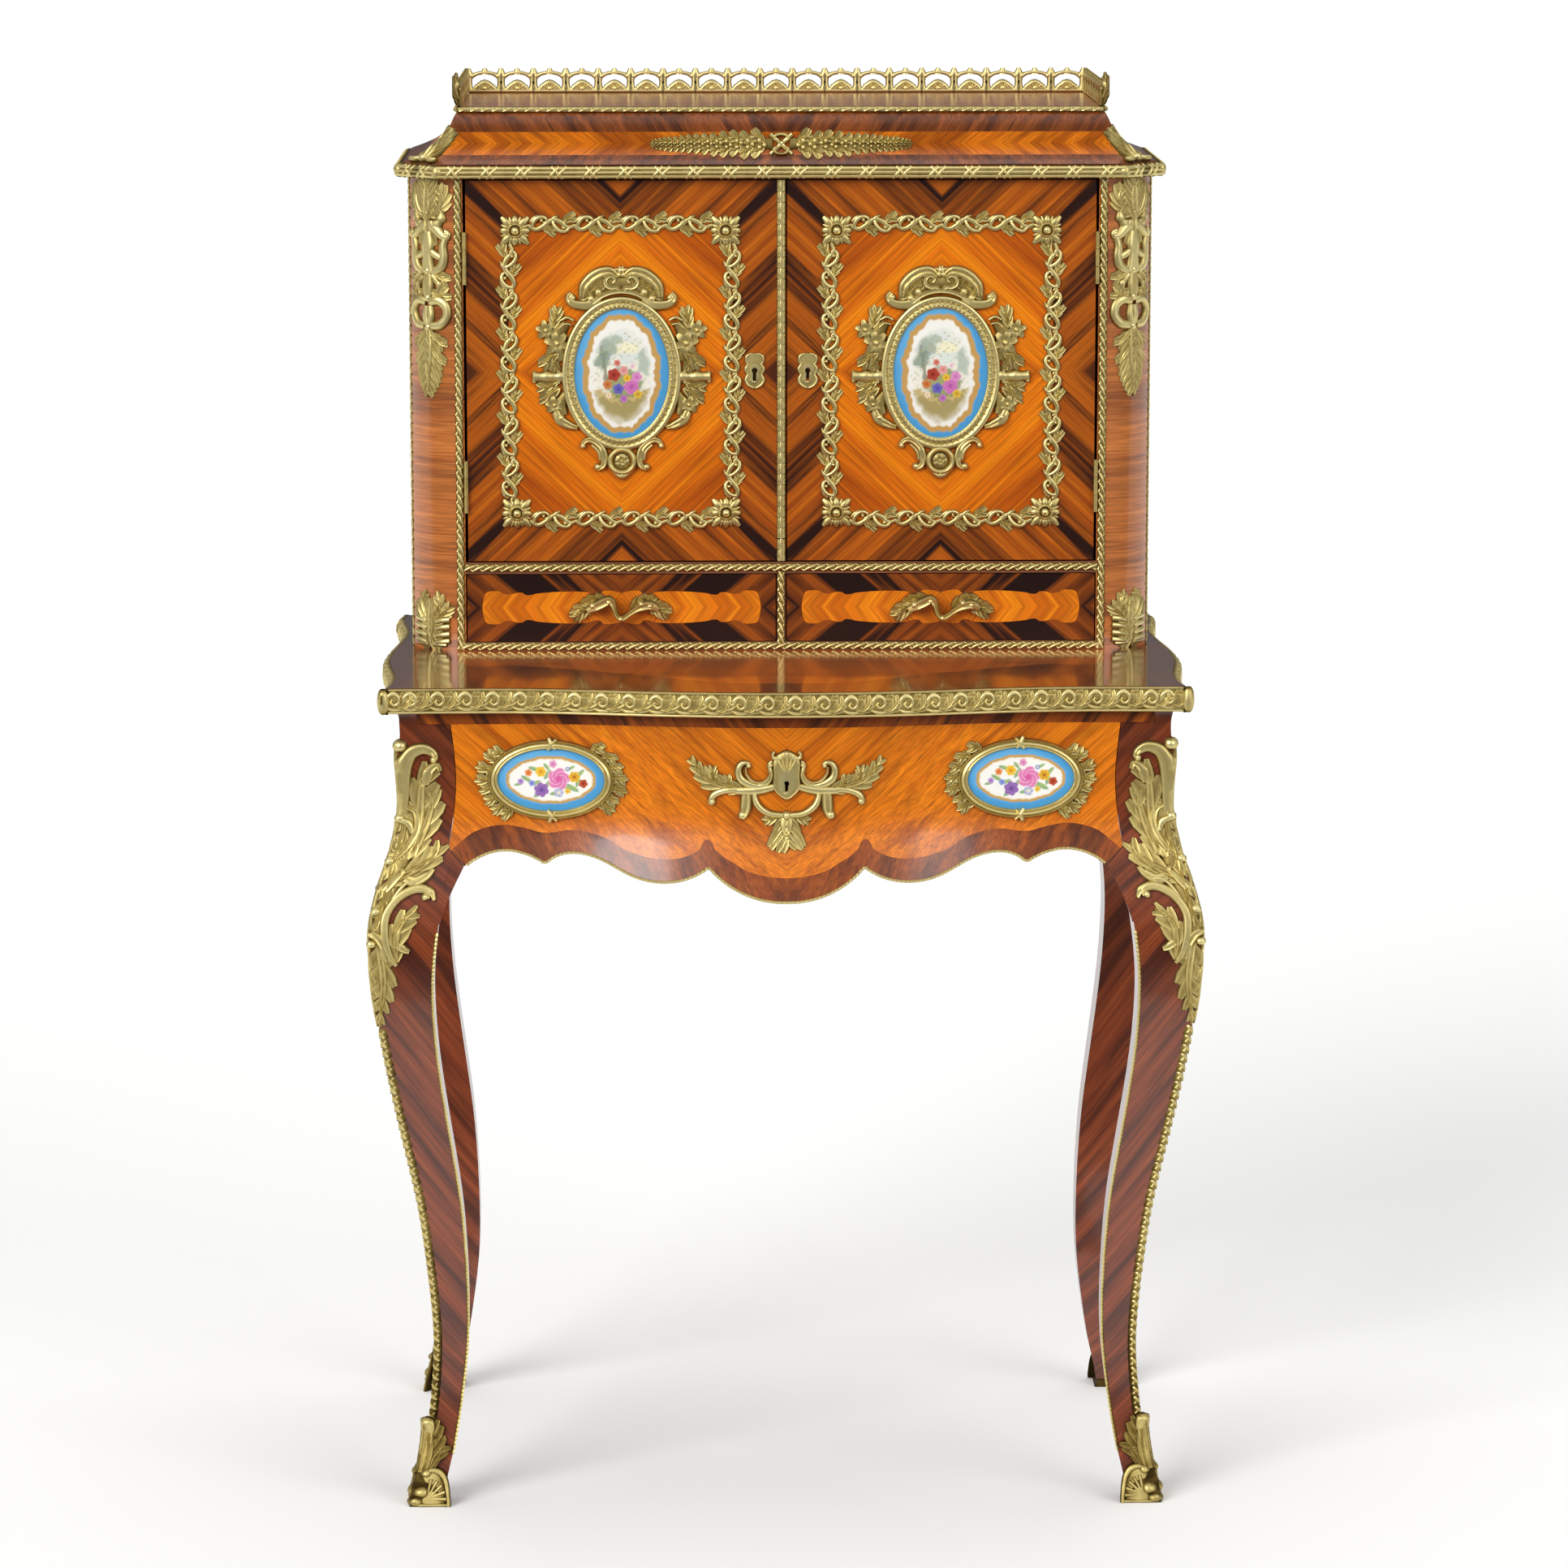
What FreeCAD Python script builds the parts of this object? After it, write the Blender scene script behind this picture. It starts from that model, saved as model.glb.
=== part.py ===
import FreeCAD, Part
import math
import os

# A bonheur du jour, a small writing desk with a cabinet on it: four cabriole legs,
# a shaped table top with a frieze drawer, two small drawers and a two-door cupboard
# under a coved hood with a pierced gallery, all trimmed with gilt brass mounts.
# Millimetres, +Z up, front towards -Y, origin on the floor under the middle.

os.makedirs("parts", exist_ok=True)

# Table: plan, height and board
table_height = 760.0
table_half_width = 365.5
table_corner_front = 222.0
table_front_bow = 28.0
table_side_bow = 6.5
back_plane = 250.0
table_board = 22.0
table_overhang = 18.0
rear_overhang = 27.0
edge_moulding_wall = 8.0
edge_moulding_lip = 1.0
edge_moulding_round = 7.0
moulding_profile_shares = [(0.0, 1.0), (0.18, 0.22), (0.5, 0.0), (0.82, 0.22), (1.0, 1.0)]
front_edge_shares = [
    (0.0, 1.0), (0.17, 0.9), (0.334, 0.62), (0.5, 0.2), (0.67, -0.07), (0.87, -0.06), (1.0, 0.0)]
side_edge_shares = [
    (0.0, 0.0), (0.142, -1.0), (0.326, 0.3), (0.534, -0.08), (0.788, -0.95), (0.913, 0.08), (1.0, -0.4)]

# Cabriole legs: height share, outward sweep share and face width share of each station
knee_sweep = 23.0
knee_width = 58.5
sabot_sole = 8.0
leg_station_shares = [
    (0.0, -0.456, 0.41), (0.051, -0.726, 0.438), (0.112, -1.03, 0.455), (0.195, -1.183, 0.513),
    (0.284, -0.978, 0.595), (0.379, -0.587, 0.667), (0.475, 0.022, 0.738), (0.571, 0.596, 0.807),
    (0.66, 0.978, 0.903), (0.736, 1.0, 1.0), (0.811, 0.37, 0.923), (0.866, -0.065, 0.889),
    (0.934, -0.065, 0.889), (1.0, 0.0, 0.915)]
leg_loft_stations = 22

# Aprons: the front one is the drawer front, the sides and back are fixed
apron_thickness = 20.0
front_bow = 26.0
side_bow = 2.5
apron_plan_shares = [
    (0.0, 1.0), (0.18, 0.9), (0.37, 0.54), (0.557, 0.115), (0.74, -0.05), (0.88, -0.015), (1.0, -0.02)]
side_plan_shares = [(0.0, 1.0), (0.3, 0.7), (0.62, 0.0), (0.78, -0.15), (1.0, -0.2)]
apron_slab_inset = 17.5
apron_slab_foot = 190.0
seam_top_inset = 44.5
seam_top_drop = 124.2
seam_bottom_inset = 58.5
seam_bottom_drop = 140.2
ear_root_inset = 16.0
ear_foot_drop = 200.0
ear_curve_shares = [(1.0, 0.0), (0.807, 0.376), (0.667, 0.72), (0.6, 1.0)]
front_rail_height = 12.0
front_rail_depth = 45.0
drawer_end_swell = 7.0
drawer_end_shares = [(0.386, 1.0), (0.81, 0.768), (1.0, 0.572), (0.71, 0.278), (0.0, 0.0)]
apron_lobe_drop = 166.5
front_scallop_shares = [
    [(1.0, 0.0), (0.932, 0.459), (0.871, 0.57), (0.811, 0.456), (0.749, 0.141)],
    [(0.749, 0.141), (0.66, 0.506), (0.569, 0.278), (0.479, -0.205),
     (0.381, -0.395), (0.297, -0.213), (0.241, 0.141)],
    [(0.241, 0.141), (0.176, -0.471), (0.086, -0.897), (0.0, -1.0)]]
side_scallop_shares = [
    [(1.0, 0.0), (0.89, 0.38), (0.765, 0.5), (0.64, 0.36), (0.54, 0.12)],
    [(0.54, 0.12), (0.38, -0.25), (0.18, -0.58), (0.0, -0.68)]]
rear_apron_drop = 122.0
rear_apron_setback = 1.0
drawer_clearance = 0.6
running_gap = 0.3

# Frieze drawer box, its runners and kickers
frieze_box_inset = 4.0
frieze_box_drop = 98.0
frieze_box_side_height = 82.0
frieze_box_wall = 8.0
frieze_box_bottom = 6.0
frieze_box_rear_gap = 8.0
runner_height = 10.0
runner_bearing = 13.0
guide_width = 12.0
guide_height = 60.0
runner_end_gap = 4.0

# Cabinet case
case_inset = 24.0
case_front = 10.0
case_height = 436.8
case_wall = 14.5
cabinet_back_board = 10.0
post_front_width = 8.3
post_cant_depth = 35.0
post_cant_swell = 6.5
post_tail = 7.0
post_inner_depth = 22.0
post_width = 49.3
cabinet_floor_board = 8.0
dust_board_rise = 71.8
dust_board = 10.6
drawer_divider = 8.0
drawer_guide = 10.0
shelf_rise = 250.0
shelf_board = 12.0
shelf_setback = 4.0

# Brass beading of the cabinet front
bead_width = 7.5
bead_proud = 2.5
mid_bead_height = 8.3
mid_bead_rise = 1.5
bottom_bead_rise = 1.0
bottom_bead_height = 6.0
side_bead_proud = 1.5
divider_bead_width = 7.0

# Doors
door_thickness = 20.0
door_foot_gap = 1.5
door_top_gap = 1.5
door_hinge_gap = 2.6
left_door_reach = 4.2
meeting_gap = 1.3
meeting_bevel = 1.5

# Door hinges
pin_radius = 1.0
pin_fit = 0.05
knuckle_radius = 2.0
hinge_length = 48.0
hinge_pin_inset = 1.3
hinge_pin_stand = 2.5
leaf_thickness = 1.1
leaf_gap = 0.1
leaf_depth = 17.0
knuckle_gap = 0.3
hinge_foot_inset = 69.1
hinge_head_inset = 71.3
hinge_knuckle_shares = [0.0, 0.33, 0.67, 1.0]

# Door mounts: borders, cartouche frames, porcelain plaques and escutcheons
border_outer_margin = 31.3
border_width = 16.0
border_proud = 4.0
border_inner_margin = 31.5
border_foot_margin = 30.6
border_head_margin = 31.8
rosette_radius = 15.0
rosette_petal = 4.5
rosette_petals = 8
rosette_proud = 6.0
rosette_inset = 14.0
door_plaque_shift = 0.65
door_plaque_drop = 1.0
door_plaque_half_width = 43.3
door_plaque_half_height = 59.6
plaque_rebate = 2.0
plaque_thickness = 4.0
plaque_dome = 1.6
frame_lip = 2.0
frame_fit = 0.3
cartouche_ring = 13.0
cartouche_half_width = 82.6
cartouche_rise = 98.5
cartouche_fall = 96.5
cartouche_crest_half_width = 40.0
cartouche_crest_height = 26.0
cartouche_wing_height = 46.0
cartouche_wing_rise = 14.0
cartouche_pendant_half_width = 30.0
cartouche_pendant_height = 27.0
escutcheon_inset = 19.0
escutcheon_lift = 0.4
escutcheon_width = 20.0
escutcheon_height = 34.0
escutcheon_proud = 3.0
keyhole_radius = 2.2
keyhole_slot = 2.4
keyhole_drop = 7.0

# Locks
lock_case_width = 44.0
lock_case_height = 46.0
lock_case_depth = 8.0
lock_case_wall = 1.5
bolt_width = 14.0
bolt_thickness = 4.0
bolt_length = 22.0
bolt_travel = 7.0
bolt_fit = 0.4
lock_edge_gap = 1.0

# Small drawers and their handles
small_drawer_foot_gap = 0.6
small_drawer_top_gap = 0.8
small_drawer_divider_gap = 1.2
small_drawer_side_gap = 1.3
small_front_thickness = 18.0
small_box_wall = 7.0
small_box_bottom = 5.0
small_box_side_gap = 1.0
small_box_height = 54.0
small_box_rear_gap = 8.0
handle_shift = 0.95
handle_drop = 0.8
handle_half_width = 44.0
handle_half_height = 11.4
handle_stand = 16.0
handle_bar = 5.0
handle_foot = 22.0
handle_left_shares = [
    (-1.0, -0.7), (-0.75, 0.25), (-0.5, 0.55), (-0.25, 1.0), (-0.05, -0.35), (0.0, -0.55)]
handle_right_shares = [(0.0, -0.55), (0.2, 0.1), (0.45, 0.75), (0.7, 0.1), (1.0, -0.35)]
handle_under_shares = [
    (1.0, -0.35), (0.6, -0.5), (0.25, -0.45), (0.0, -1.0), (-0.25, -0.35), (-0.6, -0.45), (-1.0, -0.7)]

# Frieze mounts
frieze_plaque_inset = 92.5
frieze_plaque_drop = 62.4
frieze_plaque_half_width = 47.8
frieze_plaque_half_height = 28.3
frieze_frame_half_width = 65.9
frieze_frame_ring = 9.0
frieze_frame_leaf = 24.0
frieze_mount_half_width = 89.0
frieze_mount_rise = 30.2
frieze_mount_fall = 57.5
frieze_mount_proud = 6.0
frieze_keyhole_drop = 62.0
frieze_mount_shares = [
    (0.0, 1.0), (0.16, 0.9), (0.2, 0.6), (0.42, 0.62), (0.58, 0.86), (0.62, 0.5), (1.0, 0.9),
    (0.93, 0.68), (0.7, 0.36), (0.52, 0.3), (0.5, 0.02), (0.36, 0.3), (0.2, 0.2), (0.14, -0.4), (0.0, -1.0)]
apron_strip_height = 2.2
apron_strip_proud = 1.0

# Leg mounts
knee_mount_proud = 4.5
knee_mount_drop = 23.0
knee_mount_length = 263.0
knee_mount_shares = [
    (0.0, 0.45), (0.06, 0.95), (0.14, 0.75), (0.24, 1.0), (0.36, 0.82), (0.44, 1.08),
    (0.52, 1.0), (0.62, 0.62), (0.72, 0.34), (0.84, 0.22), (1.0, 0.06)]
knee_mount_arm = 42.0
strip_width = 6.5
strip_proud = 1.5
inner_strip_width = 2.4
inner_strip_proud = 0.8
inner_strip_drop = 198.0
strip_foot = 92.0
sabot_height = 35.0
sabot_toe = 7.5
sabot_width = 33.0
sabot_neck_proud = 3.0
sabot_spray_height = 92.0
sabot_spray_arm = 14.0
sabot_spray_proud = 3.5
sabot_stations = 4

# Cornice, hood and gallery
cornice_overhang_front = 12.0
cornice_overhang_side = 14.5
cornice_cant_width = 39.0
cornice_cant_depth = 38.0
cornice_moulding_height = 12.6
cornice_moulding_wall = 8.0
cornice_moulding_round = 4.0
cornice_board_height = 13.2
hood_height = 47.0
hood_neck_inset = 51.0
hood_foot_setback = 6.0
hood_neck_setback = 13.0
hood_back_setback = 3.0
hood_wall = 14.0
hood_station_shares = [
    (0.0, 1.0, 0.0, 1.0), (0.12, 0.7, 0.36, 0.66), (0.32, 0.38, 0.6, 0.36),
    (0.6, 0.18, 0.52, 0.14), (0.84, 0.08, 0.56, 0.05), (1.0, 0.0, 1.0, 0.02)]
hood_top_overhang_side = 3.0
hood_top_overhang_front = 4.0
hood_top_board = 5.0
hood_moulding_wall = 7.0
hood_top_setback = 1.0
gallery_side_setback = 4.0
gallery_back_setback = 3.0
gallery_front_setback = 9.0
gallery_height = 23.4
gallery_plate = 2.4
gallery_base = 4.0
gallery_pitch = 31.0
gallery_hole_half_width = 10.5
gallery_hole_height = 12.5
gallery_arch_share = 0.67
gallery_crest = 4.4
gallery_crest_width = 8.0
gallery_end_rise = 8.0
gallery_end_length = 26.0
gallery_end_flare = 10.0
gallery_end_shares = [(0.6, 0.72), (0.45, 0.95), (0.2, 1.0), (0.0, 0.85)]

# Hood garland, hood corner leaves and corner post mounts
garland_half_width = 121.5
garland_rise = 18.5
garland_half_height = 10.7
garland_proud = 4.0
garland_shares = [(-1.0, 0.0), (-0.6, 0.45), (-0.25, 0.6), (0.0, 1.0), (0.25, 0.6), (0.6, 0.45), (1.0, 0.0)]
corner_leaf_length = 44.0
corner_leaf_width = 16.0
corner_leaf_height = 9.0
corner_leaf_turn = 45.0
corner_leaf_dip = 43.0
corner_leaf_inset = 30.0
corner_leaf_setback = 18.0
corner_leaf_rise = 18.0
post_mount_proud = 4.0
head_mount_gap = 0.8
head_mount_length = 198.0
foot_mount_rise = 4.0
foot_mount_height = 48.5
post_mount_width = 36.0
head_mount_shares = [
    (0.0, 0.5), (0.08, 0.62), (0.2, 0.7), (0.3, 1.0), (0.42, 0.6), (0.56, 0.85),
    (0.68, 0.95), (0.78, 0.5), (0.88, 0.6), (1.0, 0.05)]
foot_mount_shares = [(0.0, 0.55), (0.2, 0.9), (0.5, 0.85), (0.8, 1.0), (1.0, 0.6)]

# Cuts run past the faces they open by this much
overrun = 5.0

# Places of the table and its frieze that follow from the sizes above
board_base = table_height - table_board
leg_x = table_half_width - table_overhang
leg_front = table_corner_front - table_overhang
leg_back = back_plane - rear_overhang
side_middle = (leg_back - leg_front) / 2
side_half_run = (leg_back + leg_front) / 2
side_reach = table_half_width + knee_sweep
apron_slab_half_run = leg_x - apron_slab_inset
rail_base = board_base - front_rail_height
seam_top_x = leg_x - seam_top_inset
seam_top_z = board_base - seam_top_drop
seam_bottom_x = leg_x - seam_bottom_inset
seam_bottom_z = board_base - seam_bottom_drop
ear_foot_z = board_base - ear_foot_drop
lobe_depth = apron_lobe_drop - seam_bottom_drop
frieze_box_half_width = seam_bottom_x - frieze_box_inset
frieze_box_base = board_base - frieze_box_drop
frieze_box_rear = leg_back - apron_thickness - frieze_box_rear_gap
frieze_plaque_x = seam_top_x - frieze_plaque_inset
frieze_plaque_z = board_base - frieze_plaque_drop
frieze_keyhole_z = board_base - frieze_keyhole_drop
knee_mount_top = board_base - knee_mount_drop
knee_mount_foot = knee_mount_top - knee_mount_length
inner_strip_top = board_base - inner_strip_drop

# Places of the cabinet case and its small drawers
case_half_width = table_half_width - case_inset
case_inner = case_half_width - case_wall
case_back = back_plane - cabinet_back_board
case_top = table_height + case_height
bead_face = case_front - bead_proud
opening_half_width = case_half_width - post_width
post_cant_start = opening_half_width + post_front_width
post_shoulder = case_front + post_cant_depth
post_back = post_shoulder + post_tail
shelf_front = post_back + shelf_setback
shelf_base = table_height + shelf_rise
floor_top = table_height + cabinet_floor_board
dust_board_base = table_height + dust_board_rise
dust_board_top = dust_board_base + dust_board
mid_bead_base = dust_board_base + mid_bead_rise
bottom_bead_base = table_height + bottom_bead_rise
small_drawer_base = floor_top + small_drawer_foot_gap
small_drawer_top = dust_board_base - small_drawer_top_gap
small_drawer_inner = drawer_divider / 2 + small_drawer_divider_gap
small_drawer_outer = opening_half_width - small_drawer_side_gap
handle_x = (small_drawer_inner + small_drawer_outer) / 2 + handle_shift
handle_z = (small_drawer_base + small_drawer_top) / 2 - handle_drop
head_mount_top = case_top - head_mount_gap
head_mount_foot = head_mount_top - head_mount_length
foot_mount_base = table_height + foot_mount_rise
foot_mount_top = foot_mount_base + foot_mount_height

# Places of the doors and what they carry
door_base = dust_board_top + door_foot_gap
door_top = case_top - door_top_gap
door_back = case_front + door_thickness
door_half_opening = opening_half_width - door_hinge_gap
right_door_start = left_door_reach + meeting_gap
hinge_pin_x = opening_half_width - hinge_pin_inset
pin_y = case_front - hinge_pin_stand
hinge_centres = [door_base + hinge_foot_inset, door_top - hinge_head_inset]
border_inner_edge = right_door_start + border_inner_margin
border_outer_edge = door_half_opening - border_outer_margin
border_base = door_base + border_foot_margin
border_top = door_top - border_head_margin
door_plaque_x = (border_inner_edge + border_outer_edge) / 2 - door_plaque_shift
door_plaque_z = (border_base + border_top) / 2 - door_plaque_drop
escutcheon_x = right_door_start + escutcheon_inset
escutcheon_z = (door_base + door_top) / 2 + escutcheon_lift

# Places of the cornice, hood and gallery
cornice_front = case_front - cornice_overhang_front
cornice_half_width = case_half_width + cornice_overhang_side
cornice_straight = cornice_half_width - cornice_cant_width
hood_base = case_top + cornice_board_height
hood_top_base = hood_base + hood_height
hood_foot_half_width = cornice_half_width - cornice_moulding_wall
hood_neck_half_width = hood_foot_half_width - hood_neck_inset
hood_foot_front = cornice_front + hood_foot_setback
hood_neck_front = hood_foot_front + hood_neck_setback
hood_back = back_plane - hood_back_setback
hood_top_half_width = hood_neck_half_width + hood_top_overhang_side
hood_top_front = hood_neck_front - hood_top_overhang_front
hood_top_back = back_plane - hood_top_setback
gallery_half_width = hood_top_half_width - gallery_side_setback
gallery_back = hood_top_back - gallery_back_setback
gallery_front = hood_top_front + gallery_front_setback
garland_z = hood_base + garland_rise


def vec(x, y, z):
    return FreeCAD.Vector(x, y, z)


def save(name, *shapes):
    solids = [solid for shape in shapes for solid in shape.Solids]
    Part.makeCompound(solids).exportStep("parts/" + name + ".step")


def mirrored(shape):
    # The same piece on the other side of the middle
    return shape.mirror(vec(0, 0, 0), vec(1, 0, 0))


def at_back(shape):
    # The same leg piece at the back, across the middle of the side aprons
    return shape.mirror(vec(0, side_middle, 0), vec(0, 1, 0))


def block(x0, x1, y0, y1, z0, z1):
    return Part.makeBox(x1 - x0, y1 - y0, z1 - z0, vec(x0, y0, z0))


def edge_through(points):
    # A straight edge through two points, a smooth curve through more
    if len(points) == 2:
        return Part.makeLine(points[0], points[1])
    curve = Part.BSplineCurve()
    curve.interpolate(points)
    return curve.toShape()


def face_of(runs):
    # A flat face whose outline is made of runs of points, each starting where the last one ended
    return Part.Face(Part.Wire([edge_through(run) for run in runs]))


def elevation(runs, y0, y1):
    # An outline of (x, z) runs pushed along Y from y0 to y1
    placed = [[vec(x, y0, z) for x, z in run] for run in runs]
    return face_of(placed).extrude(vec(0, y1 - y0, 0))


def side_elevation(runs, x0, x1):
    # An outline of (y, z) runs pushed along X from x0 to x1
    placed = [[vec(x0, y, z) for y, z in run] for run in runs]
    return face_of(placed).extrude(vec(x1 - x0, 0, 0))


def plan(runs, z0, z1):
    # An outline of (x, y) runs pushed up from z0 to z1
    placed = [[vec(x, y, z0) for x, y in run] for run in runs]
    return face_of(placed).extrude(vec(0, 0, z1 - z0))


def polygon(points):
    # A closed outline of straight runs
    return [[points[i], points[(i + 1) % len(points)]] for i in range(len(points))]


def oval(x, z, half_width, half_height, y0, y1):
    # An upright oval plate from y0 to y1, in front of the middle of its face
    long_side = max(half_width, half_height)
    short_side = min(half_width, half_height)
    ring = Part.Ellipse(vec(0, 0, 0), long_side, short_side).toShape()
    if half_height > half_width:
        ring.rotate(vec(0, 0, 0), vec(0, 0, 1), 90)
    ring.rotate(vec(0, 0, 0), vec(1, 0, 0), 90)
    ring.translate(vec(x, y1, z))
    return Part.Face(Part.Wire([ring])).extrude(vec(0, y0 - y1, 0))


def fused(shapes):
    return shapes[0].multiFuse(shapes[1:]).removeSplitter()


def smooth_between(rows, place):
    # The values of a table of rows at a place between them, on a smooth curve through the rows
    last = len(rows) - 2
    index = min(last, sum(1 for row in rows[1:-1] if row[0] <= place))
    before = rows[max(index - 1, 0)]
    start = rows[index]
    end = rows[index + 1]
    after = rows[min(index + 2, last + 1)]
    span = end[0] - start[0]
    share = (place - start[0]) / span
    values = []
    for column in range(1, len(start)):
        slope_in = (end[column] - before[column]) / (end[0] - before[0]) * span
        slope_out = (after[column] - start[column]) / (after[0] - start[0]) * span
        rise = start[column] * (2 * share ** 3 - 3 * share ** 2 + 1)
        rise += end[column] * (3 * share ** 2 - 2 * share ** 3)
        rise += slope_in * (share ** 3 - 2 * share ** 2 + share)
        rise += slope_out * (share ** 3 - share ** 2)
        values.append(rise)
    return values


def leg_at(z):
    # How far the leg sweeps out at a height, and how wide its faces are there
    share = (z - sabot_sole) / (board_base - sabot_sole)
    sweep, width = smooth_between(leg_station_shares, share)
    return sweep * knee_sweep, width * knee_width


def corner_loft(rows):
    # A square post of (z, sweep, width) rows whose outer corner follows the front right leg
    wires = []
    for z, sweep, width in rows:
        x = leg_x + sweep
        y = -leg_front - sweep
        corners = [vec(x, y, z), vec(x - width, y, z), vec(x - width, y + width, z), vec(x, y + width, z)]
        wires.append(Part.makePolygon(corners + corners[:1]))
    return Part.makeLoft(wires, True, False)


def heights_between(low, high, count):
    return [low + (high - low) * i / (count - 1) for i in range(count)]


def leg_post():
    rows = [(z,) + tuple(leg_at(z)) for z in heights_between(sabot_sole, board_base, leg_loft_stations)]
    return corner_loft(rows)


def slab(outer_at, inward):
    # A curved apron board: outer_at gives the plan points of its face at a height
    wires = []
    for z in heights_between(board_base - apron_slab_foot, board_base, len(leg_station_shares)):
        outer = outer_at(z)
        inner = [point + inward for point in outer]
        edges = [edge_through(outer), edge_through([outer[-1], inner[-1]])]
        edges += [edge_through(inner[::-1]), edge_through([inner[0], outer[0]])]
        wires.append(Part.Wire(edges))
    return Part.makeLoft(wires, True, False)


def front_face_at(z):
    shares = [(-x, bow) for x, bow in apron_plan_shares[:0:-1]] + apron_plan_shares
    face = leg_front + leg_at(z)[0]
    return [vec(x * apron_slab_half_run, -face - bow * front_bow, z) for x, bow in shares]


def side_face_at(z):
    shares = [(-y, bow) for y, bow in side_plan_shares[:0:-1]] + side_plan_shares
    face = leg_x + leg_at(z)[0]
    return [vec(face + bow * side_bow, side_middle + y * side_half_run, z) for y, bow in shares]


def ear_runs(corner, direction):
    # The leg's ear beside the apron, in a view where the leg's corner stands at the place corner
    drop = seam_bottom_z - ear_foot_z
    curve = []
    for inset, fall in ear_curve_shares:
        curve.append((corner - direction * seam_bottom_inset * inset, seam_bottom_z - fall * drop))
    seam_top = (corner - direction * seam_top_inset, seam_top_z)
    root_top = (corner - direction * ear_root_inset, seam_top_z)
    root_foot = (corner - direction * ear_root_inset, ear_foot_z)
    closing = [[curve[-1], root_foot], [root_foot, root_top], [root_top, seam_top]]
    return [[seam_top, curve[0]], curve] + closing


def drawer_end(gap):
    # The end of the drawer front from the rail down to the seam, with a gap to the leg
    height = rail_base - gap - seam_top_z
    points = []
    for swell, rise in drawer_end_shares:
        x = seam_top_x - swell * drawer_end_swell - gap
        points.append((x, seam_top_z + gap + rise * height))
    return points


def scallops(shares, run, gap):
    # Half of an apron's lower edge, from the seam to the middle
    runs = []
    for group in shares:
        runs.append([(x * (run - gap), seam_bottom_z + gap * (x == 1) + z * lobe_depth) for x, z in group])
    return runs


def both_halves(end, lower, middle):
    # The closed outline of an apron from its right half
    left = [[(2 * middle - x, z) for x, z in run[::-1]] for run in lower[::-1]]
    left_end = [(2 * middle - x, z) for x, z in end[::-1]]
    right_seam = [end[-1], lower[0][0]]
    left_seam = [left[-1][-1], left_end[0]]
    across = [left_end[-1], end[0]]
    return [end, right_seam] + lower + left + [left_seam, left_end, across]


def drawer_outline(gap):
    return both_halves(drawer_end(gap), scallops(front_scallop_shares, seam_bottom_x, gap), 0)


def drawer_passage():
    # The way of the drawer between the front legs, cut straight through from front to back
    end = drawer_end(0)
    top = (end[0][0], board_base + overrun)
    foot = (seam_bottom_x, seam_bottom_z)
    inner = [(0, foot[1]), (0, top[1])]
    runs = [[top, end[0]], end, [end[-1], foot], [foot, inner[0]], inner, [inner[1], top]]
    return elevation(runs, -back_plane - overrun, side_middle)


def build_legs(front_slab, side_slab):
    post = leg_post()
    side_ear = side_slab.common(side_elevation(ear_runs(-leg_front, -1), 0, side_reach))
    front_ear = front_slab.common(elevation(ear_runs(leg_x, 1), -back_plane - overrun, 0))
    rear = fused([post, side_ear.cut(post)])
    front = fused([rear, front_ear.cut(rear)]).cut(drawer_passage())
    legs = {"right_front_leg": front, "left_front_leg": mirrored(front)}
    legs["right_rear_leg"] = at_back(rear)
    legs["left_rear_leg"] = mirrored(legs["right_rear_leg"])
    return legs


def build_side_apron(side_slab, legs):
    corner = side_middle + side_half_run
    end = [(corner - ear_root_inset, board_base), (corner - seam_top_inset, seam_top_z)]
    lower = []
    for run in scallops(side_scallop_shares, side_half_run - seam_bottom_inset, 0):
        lower.append([(side_middle + y, z) for y, z in run])
    apron = side_slab.common(side_elevation(both_halves(end, lower, side_middle), 0, side_reach))
    return apron.cut(legs["right_front_leg"]).cut(legs["right_rear_leg"])


def build_rear_apron(legs, side_apron):
    rear_face = leg_back - rear_apron_setback
    foot = board_base - rear_apron_drop
    board = block(-leg_x, leg_x, rear_face - apron_thickness, rear_face, foot, board_base)
    for neighbour in (legs["right_rear_leg"], legs["left_rear_leg"], side_apron, mirrored(side_apron)):
        board = board.cut(neighbour)
    return board


def build_front_rail(legs):
    # The rail over the frieze drawer, with the mortise of the drawer's lock in its underside
    face = [(point.x, point.y) for point in front_face_at(board_base)]
    inner = front_rail_depth - leg_front - front_bow
    back = [(face[-1][0], inner), (face[0][0], inner)]
    rail = plan([face, [face[-1], back[0]], back, [back[1], face[0]]], rail_base, board_base)
    rail = rail.cut(legs["right_front_leg"]).cut(legs["left_front_leg"])
    return rail.cut(frieze_bolt(bolt_fit, bolt_travel))


def table_outline(inset):
    # Plan of the table top; inset draws it in by the wall of the edge moulding
    half = table_half_width - inset
    corner = table_corner_front - inset
    depth = back_plane - inset + corner
    front = [(x * half, -corner - bow * table_front_bow) for x, bow in front_edge_shares]
    front = [(-x, y) for x, y in front[:0:-1]] + front
    right = [(half + bow * table_side_bow, -corner + y * depth) for y, bow in side_edge_shares]
    left = [(-x, y) for x, y in right[::-1]]
    return [front, right, [right[-1], left[0]], left]


def rounded_band(outline_at, wall, rounding, z0, z1):
    # A moulding round a board: outline_at gives the plan for an inset, the outer face is rounded
    wires = []
    for height, inset in moulding_profile_shares:
        z = z0 + height * (z1 - z0)
        runs = outline_at(inset * rounding)
        wires.append(Part.Wire([edge_through([vec(x, y, z) for x, y in run]) for run in runs]))
    solid = Part.makeLoft(wires, True, False)
    return solid.cut(plan(outline_at(wall), z0 - overrun, z1 + overrun))


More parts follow.
